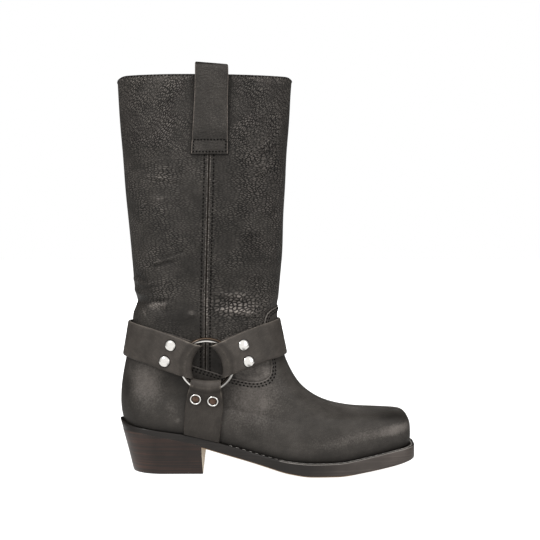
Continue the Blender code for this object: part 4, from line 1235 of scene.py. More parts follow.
def grown(name, mesh, tree, values):
    """Object made plain from a mesh run through a node tree."""
    seed = bpy.data.objects.new(name, mesh)
    bpy.context.scene.collection.objects.link(seed)
    modifier = seed.modifiers.new("made", "NODES")
    modifier.node_group = tree
    for item in tree.interface.items_tree:
        if item.in_out == "INPUT" and item.name in values:
            modifier[item.identifier] = values[item.name]
    bpy.context.view_layer.update()
    plain = bpy.data.meshes.new_from_object(seed.evaluated_get(bpy.context.evaluated_depsgraph_get()))
    seed.modifiers.remove(modifier)
    seed.data = plain
    plain.name = name
    return seed


def line_mesh(name, lines):
    """Mesh of loose polylines, in metres."""
    points, edges = [], []
    for line_points in lines:
        first = len(points)
        points += [tuple(p) for p in placed(line_points)]
        edges += [(i, i + 1) for i in range(first, len(points) - 1)]
    mesh = bpy.data.meshes.new(name)
    mesh.from_pydata(points, edges, [])
    return mesh


class BootSizes(bpy.types.PropertyGroup):
    """Sizes of stitches and grain that a user would change."""
    seam_pitch: FloatProperty(name="Seam stitch", description="Pitch of the seam stitches",
                              default=0.0036, unit="LENGTH")
    welt_pitch: FloatProperty(name="Welt stitch", description="Pitch of the welt stitches",
                              default=0.0065, unit="LENGTH")
    thread_radius: FloatProperty(name="Thread", description="Radius of the thread",
                                 default=0.0008, unit="LENGTH")
    grain_depth: FloatProperty(name="Grain", description="Depth of the shaft's grain in millimetres",
                               default=0.5)


class BootColours(bpy.types.PropertyGroup):
    """Colours of the boot's materials."""
    upper: FloatVectorProperty(name="Upper", description="Waxed upper leather", subtype="COLOR",
                               default=(0.030, 0.0272, 0.0245))
    # lighter leather colour, both for rubbing and for painted highlights
    rubbed: FloatVectorProperty(name="Rub and highlight", description="Leather where it is rubbed", subtype="COLOR",
                                default=(0.115, 0.104, 0.095))
    strap: FloatVectorProperty(name="Strap", description="Strap leather", subtype="COLOR",
                               default=(0.054, 0.0475, 0.042))
    sole: FloatVectorProperty(name="Sole", description="Dressed sole edge", subtype="COLOR",
                              default=(0.0125, 0.0104, 0.0092))
    heel: FloatVectorProperty(name="Heel", description="Stacked heel", subtype="COLOR",
                              default=(0.0165, 0.0124, 0.0106))
    breast: FloatVectorProperty(name="Breast", description="Undyed leather", subtype="COLOR",
                                default=(0.92, 0.82, 0.66))
    nickel: FloatVectorProperty(name="Metal", description="Nickel plate", subtype="COLOR",
                                default=(0.92, 0.90, 0.87))


def colour_of(name, share=1.0):
    """A colour of the boot, darker or lighter by a share."""
    return tuple(c * share for c in getattr(bpy.context.scene.boot_colours, name))


def kept_material(name, maker, *args, **kwargs):
    return bpy.data.materials.get(name) or maker(name, *args, **kwargs)


class BOOT_OT_shaft(bpy.types.Operator):
    """Make the front and back panel of the shaft and its lining"""
    bl_idname = "boot.make_shaft"
    bl_label = "Shaft"

    def execute(self, context):
        edges = vamp_edge_on_upper()
        for panel in ("front", "back"):
            sheet = self.cut_panel(panel == "front", edges)
            self.paint(sheet, panel)
            sheet.rim("seam", SEAM_CUT, 1.2, sheet.normals())
            mat = kept_material("shaft leather " + panel, leather, colour_of("upper"), colour_of("rubbed"),
                                rough=0.46, pores=0.2, wrinkles=0.2, depth=context.scene.boot_sizes.grain_depth,
                                spread=0.22, mottle=0.2)
            ride(sheet.piece("shaft_" + panel, mat, PAINTED), "upper_leather", "upper")
        self.lining()
        return {"FINISHED"}

    def cut_panel(self, front, edges):
        """Half of the shaft with its folds and turned collar, cut at the seams and under the vamp."""
        ahead = 1 if front else -1
        start, end = panel_limits(lambda z: float(seam_x(z)) - ahead * SEAM_LAP, front)
        ts = even_rows(SHAFT_ROW, LAST_ROW, 290, (0.35, 0.5, 0.65))
        us, t_grid = laid_grid(start, end, ts, 270, 0.75)
        base = smoothed(upper_point(us, t_grid), 120)
        run, rise = run_lengths(base)
        n = grid_normals(base)
        x, y, z = (base[..., i] for i in range(3))
        seam = (x - seam_x(z)) * ahead
        base = base + n * self.relief(x, y, z, seam)[..., None]
        share = (t_grid - SHAFT_ROW) / (LAST_ROW - SHAFT_ROW)
        top_share = np.clip((share - 0.9) / 0.1, 0, 1) ** 2
        base[..., 2] += (collar_top(x) - COLLAR_Z - RIM) * top_share
        base[..., 0] += top_share * 0.8 * np.clip(1 - (x - COLLAR_BACK) / 8, 0, 1)
        collar, out = base[-1], unit(n[-1] * np.array([1, 1, 0]))
        facing = [collar - out * RIM * (1 - math.cos(angle)) + np.array([0, 0, RIM * math.sin(angle)])
                  for angle in np.linspace(0, np.pi, 9)[1:]]
        facing += [collar - out * 2 * RIM - np.array([0, 0, down]) for down in np.linspace(2, 16, 8)]

        def grow(grid, step=0.0):
            return np.concatenate([grid, grid[-1:] + step * np.arange(1, len(facing) + 1)[:, None]])
        sheet = Sheet(np.concatenate([base, np.array(facing)]), run=grow(run), rise=grow(rise, 1.0),
                      seam=grow(seam), turned=grow(np.zeros_like(seam), 1.0))
        inside = len(facing) * base.shape[1]
        edge = edge_distance(sheet.points()[:-inside], edges)
        sheet.add("below", 7.0 - np.concatenate([edge, np.full(inside, -99.0)]))
        sheet.cut("seam", SEAM_CUT)
        sheet.cut("below", 0.0)
        return sheet

    def relief(self, x, y, z, seam):
        """Height of the folds, of the ridge and groove at the seam, and of the bed of the loop."""
        near = np.clip(1 - (z - 292) / 12, 0, 1)
        height = 1.5 * folds(FOLDS, x, z, y) * np.clip((seam - 5) / 4, 0, 1)
        height += 0.45 * hump(seam, 2.3, 1.9) * near
        height -= 0.5 * hump(seam, 4.6, 0.8) * near
        height -= 0.8 * hump(np.maximum(seam, 0), 0, 0.55)
        height += 0.28 * np.sin(x * 0.11 + z * 0.043) * np.sin(z * 0.061 - x * 0.03) * np.clip(seam / 12, 0, 1)
        height -= 0.5 * hump(beside_loop(x, z), 1.2, 1.5) * np.clip((z - 304) / 6, 0, 1)
        return height

    def paint(self, sheet, panel):
        """Grain, pebbles, rubbing with painted highlights, and painted shade of a panel."""
        x, y, z = (sheet[k] for k in "xyz")
        seam, turned, beside = sheet["seam"], sheet["turned"], beside_loop(x, z)
        front = panel == "front"
        low = np.clip((z - 114) / 12, 0.1, 1) if front else np.ones_like(z)
        crease = folds([f for f in FOLDS if f[4] < 2.5], x, z, y) * np.clip((seam - 5) / 4, 0, 1)
        grain = spotted(panel + " grain", x, z, y, 0.75 if front else 0.6) * low - 0.3 * hump(seam, 14, 12)
        # painted highlights: ridges beside the seam, a band below the collar's edge, the spots where light
        # falls, and the fold ridges, which are partly real rubbing
        wear = (spotted(panel + " wear", x, z, y) + 0.75 * (1 - low) * np.clip((x - 100) / 12, 0, 1)
                + 0.75 * hump(seam, 1.2, 0.6) * (z < 303)
                + 0.4 * hump(z, 374, 8) * np.clip(0.5 - y / 20.0, 0, 1) * (beside > 3)
                + 0.24 * np.clip(crease / 0.35, 0, 1))
        loop_side = np.where(x > LOOP_FOOT_X, 0.5, 0.25) * np.clip((z - 310) / 20, 0, 1)
        shade = np.maximum.reduce(spots("shaft shade", x, z, y) + [
            0.9 * hump(np.maximum(seam - 0.2, 0), 0, 0.35),
            0.3 * np.clip(-crease / 0.35, 0, 1),
            0.3 * hump(seam, 4.4, 0.6) * (z < 304),
            0.92 * hump(beside, 0.3, 1.2) * (z > 303) * (turned < 1),
            loop_side * hump(beside, 2, 5.0) * (turned < 1),
            0.6 * hump(z, 302.8, 1.3) * (beside < 0),
            0.25 * (turned > 0),
            0.35 * hump(sheet["below"], 7.6, 1.2)])
        pebble = spotted(panel + " pebble", x, z, y)
        for key, value in zip(PAINTED, (np.clip(grain, 0, 1.6), pebble, wear, shade)):
            sheet.add(key, value)

    def lining(self):
        """Inner skin from the lasted edge up to the facing of the collar."""
        ts = even_rows(0.0, LAST_ROW, 120, (0.4, 0.6, 0.95))
        us = np.broadcast_to(np.linspace(0, 2, 161)[None, :], (120, 161))
        t_grid = np.broadcast_to(ts[:, None], us.shape)
        n = upper_normal(us, t_grid)
        n[0, :, 2] = 0.0
        points = upper_point(us, t_grid) - unit(n) * (WALL + 0.05)
        points[-1, :, 2] -= 6.0
        run, rise = run_lengths(points)
        sheet = Sheet(points[:, ::-1], run=run[:, ::-1], rise=rise[:, ::-1])
        for key in ("grain", "wear", "shade"):
            sheet.add(key, np.zeros(len(sheet.data)))
        mat = kept_material("lining leather", leather, (0.075, 0.058, 0.044), (0.13, 0.10, 0.08), rough=0.62,
                            pores=0.25, wrinkles=0.2, depth=0.2, spread=0.18)
        ride(sheet.piece("lining", mat, ("grain", "wear", "shade")), "upper_leather", "upper")


class BOOT_OT_foot(bpy.types.Operator):
    """Make the vamp with its tongue and the counter"""
    bl_idname = "boot.make_foot"
    bl_label = "Vamp and counter"

    def execute(self, context):
        edges = vamp_edge_on_upper()
        for name, front in (("vamp", True), ("counter", False)):
            sheet = self.cut_panel(front, edges)
            self.raise_panel(sheet)
            self.paint(sheet)
            sheet.rim("edge", 0.0, 1.5, sheet.normals())
            mat = kept_material("vamp leather", leather, colour_of("upper", 1.4), colour_of("rubbed"),
                                rough=0.47, pores=0.2, wrinkles=0.1, depth=0.24, spread=0.16, mottle=0.13,
                                speckle=60.0, solid=True)
            ride(sheet.piece(name, mat, ("grain", "wear", "shade")), "upper_leather", "upper")
        return {"FINISHED"}

    def cut_panel(self, front, edges):
        """Front or back of the foot, cut at its edge and at the joint under the side straps."""
        ahead = 1 if front else -1
        start, end = panel_limits(lambda z: JOINT_X - 2.0 * ahead, front)
        if front:
            ts = 0.5 * (even_rows(0.0, 16.2, 170, (1.0,)) + even_rows(0.0, 16.2, 170, (0.6, 0.75)))
        else:
            ts = even_rows(0.0, 13.9, 110, (0.0, 0.35))
        us, t_grid = laid_grid(start, end, ts, 330 if front else 170)
        base = upper_point(us, t_grid)
        toe = np.clip((base[..., 0] - 205) / 50, 0, 1)[..., None]
        base = smoothed(base, 60) * toe + smoothed(base, 900) * (1 - toe)
        if front:
            base = self.filled_waist(base)
        run, rise = run_lengths(base)
        n = grid_normals(base)
        n[..., 2] *= 1 - np.clip(1 - t_grid / 0.4, 0, 1)
        n = unit(n)
        sheet = Sheet(base, run=run, rise=rise, nx=n[..., 0], ny=n[..., 1], nz=n[..., 2])
        sheet.add("edge", edge_distance(sheet.points(), edges))
        sheet.add("joint", (sheet["x"] - JOINT_X) * ahead)
        sheet.cut("edge", 0.0)
        sheet.cut("joint", 0.15)
        for level in (0.35, EDGE_ROUND):
            sheet.cut("edge", level, keep=False)
        return sheet

    def filled_waist(self, base):
        """The hollow between ankle and ball drawn out along the columns, and the brow eased."""
        x, y, z = (base[..., i] for i in range(3))

        def share(value, start, span):
            return np.clip((value - start) / span, 0, 1)
        low, wide = z - sole_top(x), np.abs(y)
        waist = (share(wide, 14, 12) * share(x, 96, 26) * share(-x, -205, 40) * share(low, 3, 10)
                 * share(-z, -118, 30))
        brow = share(wide, 8, 12) * share(x, 150, 40) * share(-x, -268, 14) * share(low, 8, 10)
        for times, amount in ((260, waist), (90, brow)):
            soft = base.copy()
            for _ in range(times):
                soft[1:-1] += 0.25 * (soft[:-2] + soft[2:] - 2 * soft[1:-1])
            base = base + (soft - base) * amount[..., None]
        return base

    def raise_panel(self, sheet):
        """Lift the panel to its thickness, with its folds, rounded edge and stitch grooves."""
        x, y, z, edge = (sheet[k] for k in ("x", "y", "z", "edge"))
        normal = unit(np.stack([sheet[k] for k in ("nx", "ny", "nz")], axis=1))
        lift = VAMP_STEP + folds(FOOT_FOLDS, x, z, y)
        lift -= 0.75 * (1 - np.sqrt(np.clip(1 - np.clip(1 - edge / EDGE_ROUND, 0, 1) ** 2, 0, 1)))
        for away in STITCH_ROWS:
            lift -= 0.22 * hump(edge, away, 0.55)
        lift += 0.16 * np.sin(x * 0.07 + 1.0) * np.sin(z * 0.09 + x * 0.02) * np.clip(edge / 10, 0, 1)
        sheet.data[:, :3] += normal * lift[:, None]

    def paint(self, sheet):
        """Rubbing with painted highlights, and painted shade, of a panel."""
        x, y, z, edge = (sheet[k] for k in ("x", "y", "z", "edge"))
        # painted highlights: the spots, among them the streak low on the toe, and a light line along the raised
        # edge
        wear = spotted("foot wear", x, z, y, 0.22) + 0.6 * hump(edge, 0.3, 0.35)
        shade = np.maximum.reduce([0.25 * hump(edge, away, 0.5) for away in STITCH_ROWS]
                                  + [0.95 * np.exp(-np.maximum(z - sole_top(x), 0) / 6.0)]
                                  + spots("foot shade", x, z, y))
        for key, value in (("grain", 0.0 * x), ("wear", wear), ("shade", shade)):
            sheet.add(key, value)


class BOOT_OT_sole(bpy.types.Operator):
    """Make the welt, outsole and stacked heel, and finish the insole"""
    bl_idname = "boot.make_sole"
    bl_label = "Sole"

    def execute(self, context):
        edge = kept_material("sole edge", streaked, colour_of("sole"), colour_of("sole", 1.5), 0.36, 900.0, 4.2)
        self.welt(edge)
        self.outsole(edge)
        self.heel()
        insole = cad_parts["insole"]
        insole.data.materials.clear()
        insole.data.materials.append(kept_material("insole leather", plain_leather, (0.33, 0.24, 0.16), 0.6))
        return {"FINISHED"}

    def ring(self, inset, line, rise=0.0, lean=0.0):
        """Outline of the sole at the height of a line, leaning back at the heel."""
        count = 150
        s = (1 - np.cos(np.pi * (np.arange(count) + 0.15) / (count - 0.7))) / 2
        x, outer, inner = sole_outline(s, inset)
        return both_sides(x - lean * np.clip(1 - x / 14, 0, 1) ** 2, outer, inner, line(x) + rise)

    def paint(self, piece, mat, test):
        """Another material on the faces that pass a test of place and direction."""
        piece.data.materials.append(mat)
        for face in piece.data.polygons:
            if test(face.center, face.normal):
                face.material_index = len(piece.data.materials) - 1

    def fix(self, piece, slot, solid):
        piece.data.set_sharp_from_angle(angle=math.radians(40))
        ride(piece, slot, solid)

    def welt_base(self, x):
        return sole_top(x) - WELT_THICK

    def welt(self, edge):
        """Welt with a groove for its stitches and a lip round the heel."""
        def groove(x):
            return sole_top(x) - 0.45 * np.clip((x - 92) / 26, 0, 1)

        def lip(x):
            return sole_top(x) + 4.2 * np.clip(1 - x / 15, 0, 1) ** 2
        rings = [self.ring(*row) for row in (
            # inset, line, rise, lean
            (0.0, self.welt_base, -GAP, 0.8), (0.0, self.welt_base, 0.6, 1.0),
            (0.0, lip, -0.9, 2.6), (0.25, lip, -0.3, 2.8), (0.75, lip, 0.0, 2.6), (1.7, lip, 0.05, 1.6),
            (2.2, groove), (2.8, groove), (3.3, sole_top, 0.05), (6.0, sole_top),
            (WELT_WIDTH, sole_top), (WELT_WIDTH, self.welt_base))]
        piece = ring_loft("welt_strip", rings, edge, closed=True)
        black = kept_material("welt black", streaked, (0.006, 0.0055, 0.005), (0.012, 0.010, 0.009), 0.42,
                              500.0, gloss=0.08)
        # painted highlight: a lighter line on the sole's top corner toward the toe
        corner = kept_material("welt corner", streaked, (0.14, 0.13, 0.12), (0.2, 0.185, 0.17), 0.4, 500.0)
        fore = placed_x(150.0)
        self.paint(piece, black, lambda c, n: n.z > 0.55)
        self.paint(piece, corner, lambda c, n: 0.3 < n.z < 0.8 and c.x > fore)
        self.fix(piece, "welt_leather", "welt")

    def outsole(self, edge):
        """Outsole with its lower edge rolled up and an undyed underside."""
        def edge_middle(x):
            return (sole_bottom(x) + SOLE_LIFT + self.welt_base(x)) / 2
        rings = [self.ring(*row) for row in (
            # inset, line, rise, lean
            (11.0, sole_bottom), (SOLE_ROLL, sole_bottom), (SOLE_ROLL * 0.45, sole_bottom, SOLE_LIFT * 0.3),
            (1.0, sole_bottom, SOLE_LIFT * 0.72), (0.3, sole_bottom, SOLE_LIFT),
            (0.1, sole_bottom, SOLE_LIFT + 0.4), (0.0, sole_bottom, SOLE_LIFT + 1.3),
            (0.0, edge_middle, 0.0, 0.4), (0.0, self.welt_base, -GAP, 0.8), (1.0, self.welt_base, -GAP))]
        piece = ring_loft("outsole_leather", rings, edge)
        tan = kept_material("sole underside", plain_leather, (0.36, 0.24, 0.135), 0.55)
        breast, ball = placed_x(76.0), placed_x(218.0)
        self.paint(piece, tan, lambda c, n: n.z < -0.8 or n.z < -0.2 and breast < c.x < ball)
        self.fix(piece, "sole_leather", "outsole")

    def heel(self):
        """Stacked heel: sanded sides, and a bare breast."""
        turn = np.pi / 2 * (np.arange(46) + 0.2) / 45.2

        def ring(down, inset=0.0, lift=0.0):
            back = HEEL_BACK_RAKE * down + inset
            sides = []
            for side, half, breast_top, breast_low in (
                    (-1, half_outer, 76.6, 78.0), (1, half_inner, 80.4, 77.0)):
                breast = breast_top + (breast_low - breast_top) * down - inset
                x = back + (breast - back) * (1 - np.cos(turn))
                y = half(x) - HEEL_SIDE_RAKE * down - inset
                y = y * closing(x - back, HEEL_ROUND - 0.15 * HEEL_BACK_RAKE * down, HEEL_POWER)
                z = (sole_bottom(x) + SOLE_LIFT * 0.9) * (1 - down) + lift
                sides.append(np.stack([x, side * y, z], axis=-1))
            return np.concatenate([sides[0], sides[1][::-1]])
        rings = [ring(1.0, 6.0), ring(1.0, HEEL_CHAMFER), ring(1.0, 0.2, 0.25), ring(1.0, 0.0, HEEL_CHAMFER)]
        rings += [ring(d, 0.25 * math.sin(math.pi * d)) for d in np.linspace(0.94, 0.05, 12)]
        rings += [ring(0.0, -0.06), ring(0.0, -0.06, 1.7), ring(0.0, 3.0, 1.7)]
        # aft: painted light on the heel's back
        mat = kept_material("stacked heel", streaked, colour_of("heel"), (0.034, 0.018, 0.0138), 0.4, 620.0,
                            aft=2.2)
        piece = ring_loft("heel_stack", rings, mat)
        bare = kept_material("heel breast", plain_leather, colour_of("breast"), 0.6)
        bottom = kept_material("heel bottom", plain_leather, (0.03, 0.026, 0.023), 0.55)
        breast_x = placed_x(70.0)
        self.paint(piece, bare, lambda c, n: n.x > 0.8 and c.x > breast_x)
        self.paint(piece, bottom, lambda c, n: n.z < -0.9)
        self.fix(piece, "heel_leather", "heel")


class BOOT_OT_straps(bpy.types.Operator):
    """Make the harness straps, folded round the rings"""
    bl_idname = "boot.make_straps"
    bl_label = "Straps"

    def execute(self, context):
        skin = under_skin()
        mat = kept_material("strap leather", leather, colour_of("strap"), (0.16, 0.14, 0.12), rough=0.5,
                            pores=0.16, wrinkles=0.1, depth=0.22, spread=0.22)
        frames = {"outer": ring_frame(False), "inner": ring_frame(True)}
        plain = (LAY, LAY + STRAP_THICK)
        for name in ("back", "front"):
            band = wrap_band(name, skin)
            length, row = band.run[-1], RIVET_ROWS[name]
            runs = np.linspace(row + 17, length - row - 17, 17)[1:-1]
            parts = []
            for side in ("outer", "inner"):
                def way(run, side=side):
                    return run if side == "outer" else length - run

                def path(v, side=side, way=way):
                    return fold_path(band, way, *frames[side], name, v)
                parts.append(strap_faces(band, path, way, name))
            middle = strap_faces(band, lambda v: [(r, plain[0], r, plain[1]) for r in runs], lambda r: r, name)
            lines = [tuple(np.concatenate([one[k], mid[k], two[k][::-1]]) for k in (0, 1))
                     for one, mid, two in zip(parts[0], middle, parts[1])]
            strap_piece("harness_" + name, lines, mat, "strap_" + name)
        for side in ("outer", "inner"):
            band = side_band(side == "inner", skin)
            end = band.run[-1]

            def path(v):
                tail = [(r, plain[0], r, plain[1]) for r in (end - 7, end - 3, end)]
                return fold_path(band, lambda r: r, *frames[side], "side", v) + tail
            strap_piece("harness_side_" + side, strap_faces(band, path, lambda r: r, "side"), mat,
                        "strap_side_" + side)
        return {"FINISHED"}


class BOOT_OT_metal(bpy.types.Operator):
    """Make the rings and set the rivets"""
    bl_idname = "boot.make_metal"
    bl_label = "Rings and rivets"

    def execute(self, context):
        nickel = kept_material("nickel plate", metal, colour_of("nickel"), 0.12, 0.95)
        for side in ("outer", "inner"):
            middle, normal = ring_frame(side == "inner")
            bpy.ops.mesh.primitive_torus_add(major_radius=RING_RADIUS * MM, minor_radius=WIRE_RADIUS * MM,
                                             major_segments=112, minor_segments=24)
            ring = context.object
            ring.name = ring.data.name = "wire_ring_" + side
            turn = Vector((0, 0, 1)).rotation_difference(Vector(normal)).to_matrix().to_4x4()
            ring.data.transform(Matrix.Translation(Vector(placed(middle))) @ turn)
            ring.matrix_world = Matrix.Identity(4)
            ring.data.materials.append(nickel)
            ring.data.shade_smooth()
            # painted reflection: faces turned down stay bright, faces turned sideways go black, faces turned up
            # go brown
            facing_up = [v.normal.z for v in ring.data.vertices]
            store(ring.data, "patina", np.interp(facing_up, (-0.3, -0.12, 0.45, 0.65), (0, 0.5, 0.5, 1)))
            ride(ring, "nickel", "ring_" + side)
        domed = [f"rivet_{row}_{side}_{end}" for row in ("back", "front") for side in ("outer", "inner")
                 for end in ("upper", "lower")]
        hollow = [f"rivet_side_{side}_{end}" for side in ("outer", "inner") for end in ("rear", "fore")]
        bronze = kept_material("bronze", metal, (0.15, 0.098, 0.074), 0.4, 0.4)
        # painted shade by radius: a dark outline round each dome's base, dark rings at the eyelets' inner and
        # outer edges, centres darker toward their rim
        for name, nodes, profile, mat, dark in (
                ("rivet_domes", domed, CAP, nickel, ((4.9, 5.2), (0, 0.5))),
                ("rivet_rims", hollow, EYELET, nickel, ((3.9, 4.1, 5.1, 5.35), (0.5, 0, 0, 0.5))),
                ("rivet_centres", hollow, CENTRE, bronze, ((2.6, 3.6), (0, 0.4)))):
            self.set_fittings(name, nodes, profile, mat, dark)
        return {"FINISHED"}

    def set_fittings(self, name, nodes, profile, mat, dark):
        """Turned fittings on the places of the solid rivets."""
        turned = bmesh.new()
        verts = [turned.verts.new((r * MM, 0.0, z * MM)) for r, z in profile]
        for one, two in zip(verts, verts[1:]):
            turned.edges.new((one, two))
        bmesh.ops.spin(turned, geom=turned.verts[:] + turned.edges[:], axis=(0, 0, 1), cent=(0, 0, 0), steps=32,
                       angle=2 * math.pi)
        bmesh.ops.remove_doubles(turned, verts=turned.verts, dist=1e-6)
        bmesh.ops.recalc_face_normals(turned, faces=turned.faces)
        if sum(f.normal.z * f.calc_area() for f in turned.faces) < 0:
            bmesh.ops.reverse_faces(turned, faces=turned.faces)
        shape = bpy.data.meshes.new(name + "_shape")
        turned.to_mesh(shape)
        turned.free()
        shape.shade_smooth()
        radii = [math.hypot(v.co.x, v.co.y) / MM for v in shape.vertices]
        store(shape, "patina", np.interp(radii, *dark))
        fitting = bpy.data.objects.new(name + "_shape", shape)
        bpy.context.scene.collection.objects.link(fitting)
        points, facing = [], []
        for label in nodes:
            co = np.array([v.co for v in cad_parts[label].data.vertices])
            middle = (co.min(axis=0) + co.max(axis=0)) / 2
            axis = np.linalg.svd(co - co.mean(axis=0), full_matrices=False)[2][2]
            axis *= np.sign(axis[1] * middle[1])
            high = (co - middle) @ axis
            points.append(middle + axis * high.min())
            facing.append(axis)
        mesh = bpy.data.meshes.new(name)
        mesh.from_pydata([tuple(p) for p in points], [], [])
        stored = mesh.attributes.new("facing", "FLOAT_VECTOR", "POINT")
        stored.data.foreach_set("vector", np.array(facing, np.float32).ravel())
        piece = grown(name, mesh, kept_tree("set fittings", rivet_tree),
                      {"Fitting": fitting, "Size": 1.0, "Metal": mat})
        bpy.data.objects.remove(fitting)
        ride(piece, "nickel", *nodes)


class BOOT_OT_loops(bpy.types.Operator):
    """Make the pull loops over the collar"""
    bl_idname = "boot.make_loops"
    bl_label = "Pull loops"

    def execute(self, context):
        mat = kept_material("loop leather", leather, colour_of("upper", 1.1), (0.15, 0.13, 0.115),
                            rough=0.5, pores=0.2, wrinkles=0.7, depth=0.34, spread=0.22)
        for side, inner in (("outer", False), ("inner", True)):
            rings = band_rings([self.line(v, drop, inner) for v, drop in SECTION])
            wear, z = band_edges(rings, 1.1), rings[..., 2]
            shade = np.maximum(0.3 * hump(z, 320.0, 7.0) * (z > 316.6), 0.7 * np.clip((z - 385.6) / 1.2, 0, 1))
            values = {"wear": wear, "shade": shade, "grain": wear * 0 + 0.2}
            piece = band_piece("loop_" + side, rings, mat, values, upright=True)
            ride(piece, "upper_leather", "pull_loop_" + side)
        return {"FINISHED"}

    def line(self, v, drop, inner):
        """Inner and outer face of a loop along one line of it."""
        column = []
        for rise in (0.0, 0.08, 0.16, 0.3, 0.45, 0.6, 0.72, 0.83):
            z = LOOP_FOOT_Z + (LOOP_TOP_Z - LOOP_FOOT_Z) * rise
            middle, width = loop_line(rise)
            x = middle + 0.5 * v * width - (2.4 * rise if inner else 0.0)
            column.append((*side_place(x, z, inner), max(0.0, (rise - 0.5) / 0.33) ** 1.5))
        near, far = [], []
        top, top_n, _ = column[-1]
        centre = top - top_n * WALL / 2
        flat = unit(np.array([top_n[0], top_n[1], 0.0]))

        def side_of(sign):
            for p, n, spread in (column if sign > 0 else column[::-1]):
                clear = GAP + 0.2 + spread * max(0.0, LOOP_SPAN / 2 - WALL / 2 - GAP - 0.2)
                foot = p if sign > 0 else p - n * WALL
                near.append(foot + sign * n * (clear + drop * 0.2))
                far.append(foot + sign * n * (clear + LOOP_THICK - drop))
        side_of(1)
        spring = LOOP_TOP_Z - LOOP_THICK - LOOP_SPAN / 2 - (3.0 if inner else 1.2 + 1.2 * v)
        hub = np.array([centre[0], centre[1], spring])
        for angle in (0, 30, 60, 90, 120, 150, 180):
            c, s = direction(angle)
            for store, radius in ((near, LOOP_SPAN / 2), (far, LOOP_SPAN / 2 + LOOP_THICK - drop)):
                store.append(hub + flat * radius * c + np.array([0, 0, radius * s]))
        side_of(-1)
        return np.array(near), np.array(far)


class BOOT_OT_stitches(bpy.types.Operator):
    """Sew the seams, the topline, the loops and the welt"""
    bl_idname = "boot.make_stitches"
    bl_label = "Stitches"

    def execute(self, context):
        sizes = context.scene.boot_sizes
        dark = kept_material("dark thread", thread, (0.006, 0.0055, 0.005))
        pale = kept_material("welt thread", thread, (0.30, 0.285, 0.27))
        radius = sizes.thread_radius
        seams = self.vamp_rows() + self.seam_rows()
        self.sew("seam_stitches", seams, sizes.seam_pitch, 2.2 * MM, radius, dark)
        self.sew("topline_stitches", self.topline(), 3.4 * MM, 2.5 * MM, radius, dark)
        self.sew("loop_stitches", self.loop_rows(), 3.0 * MM, 2.0 * MM, radius, dark)
        self.sew("welt_stitches", self.welt_row(), sizes.welt_pitch, 4.2 * MM, 0.42 * MM, pale)
        return {"FINISHED"}

    def sew(self, name, lines, pitch, length, radius, mat):
        piece = grown(name, line_mesh(name, lines), kept_tree("stitch row", stitch_tree),
                      {"Pitch": pitch, "Length": length, "Radius": radius, "Thread": mat})
        ride(piece, "welt_leather" if name.startswith("welt") else "upper_leather")

    def on_pieces(self, lines, names, lift):
        """The lines dropped on the outside of finished pieces."""
        meshes = [bpy.data.objects[name].data for name in names]
        trees = [BVHTree.FromPolygons([v.co for v in mesh.vertices], [p.vertices for p in mesh.polygons])
                 for mesh in meshes]

        def drop(p):
            hit = min((tree.find_nearest(Vector(p)) for tree in trees), key=lambda h: h[3])
            return np.array(hit[0] + hit[1] * lift * MM) / MM - SHIFT
        return [np.array([drop(p) for p in placed(points)]) for points in lines]

    def vamp_rows(self):
        lines = []
        for points, normals in vamp_edge_on_upper():
            inward = unit(np.cross(normals, np.gradient(points, axis=0)))
            inward *= np.where(inward[len(inward) // 3, 2] > 0, -1.0, 1.0)
            lines += [evened(points + inward * away + normals * VAMP_STEP, 420) for away in STITCH_ROWS]
        return self.on_pieces(lines, ("vamp", "counter"), 0.0)

    def seam_rows(self):
        lines = [np.array([upper_point(*point_on_side(float(seam_x(z)) + away, z, inner))
                           for z in np.linspace(302.0, 100.0, 170)])
                 for inner in (False, True) for away in (-SEAM_STITCH, SEAM_STITCH)]
        return self.on_pieces(lines, ("shaft_front", "shaft_back"), 0.0)

    def topline(self):
        edge = upper_point(np.linspace(0.0, 2.0, 420), np.full(420, LAST_ROW))
        edge[:, 2] = collar_top(edge[:, 0]) - 1.2
        return self.on_pieces([edge], ("shaft_front", "shaft_back"), -0.4)

    def loop_rows(self):
        corners = [(LOOP_FOOT_X + dx * LOOP_FOOT_WIDTH + (z - 305) * 0.03, z) for dx, z in (
            (-0.44, 305.6), (0.44, 305.6), (0.44, 316.6), (-0.44, 316.6), (-0.44, 305.6))]
        lines = [np.array([point + normal * (LOOP_THICK + 0.6) for point, normal in
                           (side_place(x, z, inner) for x, z in evened(corners, 120))])
                 for inner in (False, True)]
        return self.on_pieces(lines, ("loop_outer", "loop_inner"), 0.05)

    def welt_row(self):
        s = 0.37 + 0.63 * np.sin(np.linspace(0, math.pi / 2, 220))
        x, outer, inner = sole_outline(np.minimum(s, 0.9994), 2.5)
        return [evened(both_sides(x, outer, inner, sole_top(x) - 0.25), 500)]


